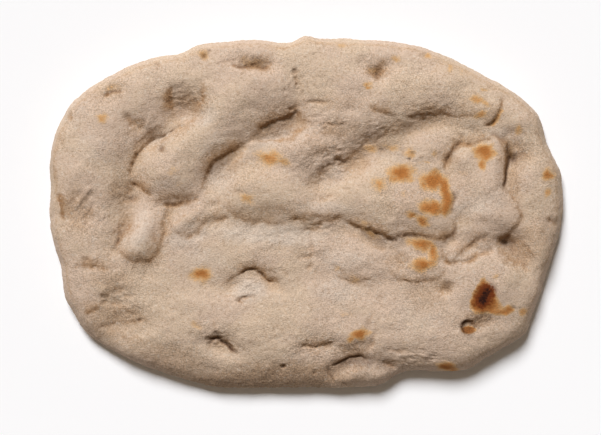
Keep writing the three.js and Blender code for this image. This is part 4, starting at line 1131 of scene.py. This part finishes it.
def crustMaterial(plan):
    material = newMaterial("floured wheat crust")
    tree = material.node_tree
    places = addNode(tree, "TexCoord").outputs["Object"]

    def noiseOf(size, detail=3, roughness=0.55):
        return addNode(tree, "TexNoise", {
            "Vector": places, "Scale": 1 / (size * mm), "Detail": detail, "Roughness": roughness,
        }).outputs["Fac"]

    def between(value, low, high, toLow=0.0, toHigh=1.0):
        return addNode(tree, "MapRange", {
            "Value": value, "From Min": low, "From Max": high, "To Min": toLow, "To Max": toHigh,
        }, interpolation_type="SMOOTHSTEP").outputs[0]

    def mixed(share, under, over):
        # sockets 0, 6 and 7 are the factor and the two colours
        return addNode(tree, "Mix", {0: share, 6: under, 7: over}, data_type="RGBA").outputs[2]

    def times(a, b):
        return addNode(tree, "Math", {0: a, 1: b}, operation="MULTIPLY").outputs[0]

    def plus(a, b):
        return addNode(tree, "Math", {0: a, 1: b}, operation="ADD").outputs[0]

    def painted(name):
        return addNode(tree, "Attribute", attribute_name=name).outputs["Fac"]

    def uneven(name):
        # A painted look whose edges are broken up
        look = painted(name)
        for field, amount in zip((mottle, crumbs, grain), plan["shifts"][name]):
            if amount:
                look = plus(look, times(plus(field, -0.5), amount))
        return look

    def coated(under, value, *names):
        # Lays coats of the plan over the colour, where the value is high
        for name in names:
            hexColour, low, full, cover = plan[name]
            under = mixed(between(value, low, full, 0.0, cover), under, linear(hexColour))
        return under

    patches = noiseOf(plan["patchSize"])
    mottle = noiseOf(plan["mottleSize"], 4)
    grain = noiseOf(plan["grainSize"], 2, 0.6)
    crumbs = noiseOf(plan["crumbSize"], 1)

    colour = coated(linear(plan["pale"]), patches, "palePink")
    # Painted shade in the hollows, darker and browner than the pale flour
    colour = coated(colour, painted("hollow"), "hollowShade")
    colour = coated(colour, uneven("floured"), "flour")
    # Tan sandy skin, and painted shade along the lower edge
    sandAndShade = uneven("sandAndShade")
    colour = coated(colour, sandAndShade, "tanSandAndShade")
    # Painted shade on the shaded flanks and dent walls, with the bare skin of the steep walls
    bare = plus(uneven("bare"), times(painted("steep"), plan["steepBare"]))
    colour = coated(colour, bare, "bare")
    # Painted shade along the folds and creases
    colour = mixed(times(painted("creaseShade"), plan["creaseCover"]), colour, linear(plan["crease"]))

    # Loose flour crumbs, and specks of bare skin that are thicker where the skin is bare and where shade is
    # painted
    colour = coated(colour, crumbs, "crumb")
    cover = plan["speckCover"]
    specks = between(crumbs, *plan["specks"], 0.0, cover)
    specks = plus(specks, times(bare, between(crumbs, *plan["bareSpecks"], 0.0, cover)))
    colour = mixed(specks, colour, linear(plan["speck"]))

    # Brown comes up in flecks where the skin stands highest, so its edge is ragged.
    toasted = times(uneven("toasted"), between(painted("toasted"), *plan["toastedOnset"]))
    colour = coated(colour, toasted, "firstBrown", "midBrown", "fullBrown", "deepBrown")
    scorched = times(uneven("scorched"), between(painted("scorched"), *plan["scorchedOnset"]))
    colour = coated(colour, scorched, "scorchEdge", "scorch")
    # Painted shade in the cracks, pores, shaded strips and the bubble's wall, and the darker brown of its
    # lens
    colour = mixed(painted("shadeAndLensBrown"), colour, linear(plan["shadeAndLensBrown"]))

    # The underside and the foot of the rim are browner, with flour left on them.
    height = addNode(tree, "SeparateXYZ", {0: places}).outputs["Z"]
    nearBase = between(height, *[limit * mm for limit in plan["baseHeights"]])
    flourLeft = between(plus(plus(patches, times(mottle, 0.5)), times(grain, 0.3)), *plan["baseFlour"])
    base = mixed(flourLeft, linear(plan["baseBrown"]), linear(plan["pale"]))
    colour = mixed(times(nearBase, plan["baseCover"]), colour, base)

    # Fine flour grain, lighter and darker by turns.
    strength = between(noiseOf(plan["sandySize"], 2), 0.35, 0.65, 0.5, 1.0)
    strength = plus(strength, times(sandAndShade, plan["sandAndShadeGrain"]))
    shade = plus(1, times(between(grain, *plan["grainRange"], *plan["grainShade"]), strength))
    colour = addNode(tree, "Mix", {
        0: 1.0, 6: colour, 7: addNode(tree, "CombineXYZ", {0: shade, 1: shade, 2: shade}).outputs[0],
    }, data_type="RGBA", blend_type="MULTIPLY").outputs[2]

    relief = plus(times(grain, plan["grainHeight"]), times(mottle, plan["mottleHeight"]))
    bump = addNode(tree, "Bump", {"Height": relief, "Strength": 1.0, "Distance": mm}).outputs[0]
    surface = addNode(tree, "BsdfPrincipled", {
        "Base Color": colour, "Roughness": plan["roughness"], "Normal": bump, "Specular IOR Level": 0.25,
    })
    addNode(tree, "OutputMaterial", {"Surface": surface.outputs[0]})
    return material


def makeDough():
    piece = copyOfNode("dough", "floured_dough")
    applyModifier(piece, "SUBSURF", levels=dough["subdivisions"], render_levels=dough["subdivisions"])
    upperSide = ramp(placesOf(piece)[:, 2], *dough["foldHeights"])
    applyPainted(piece, "SMOOTH", upperSide, factor=dough["softness"], iterations=dough["softening"])
    shapeSkin(piece, upperSide)
    bulgeRim(piece)
    applyModifier(piece, "SMOOTH", factor=dough["lastSoftness"], iterations=1)
    roughenSkin(piece)
    lookOf(piece)
    piece.data.materials.append(crustMaterial(crustPlan))
    bpy.ops.object.select_all(action="DESELECT")
    piece.select_set(True)
    bpy.context.view_layer.objects.active = piece
    bpy.ops.object.shade_smooth()
    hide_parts("dough")
    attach(piece, "root")
    print("dough shaped, triangles:", sum(len(face.vertices) - 2 for face in piece.data.polygons))


makeDough()
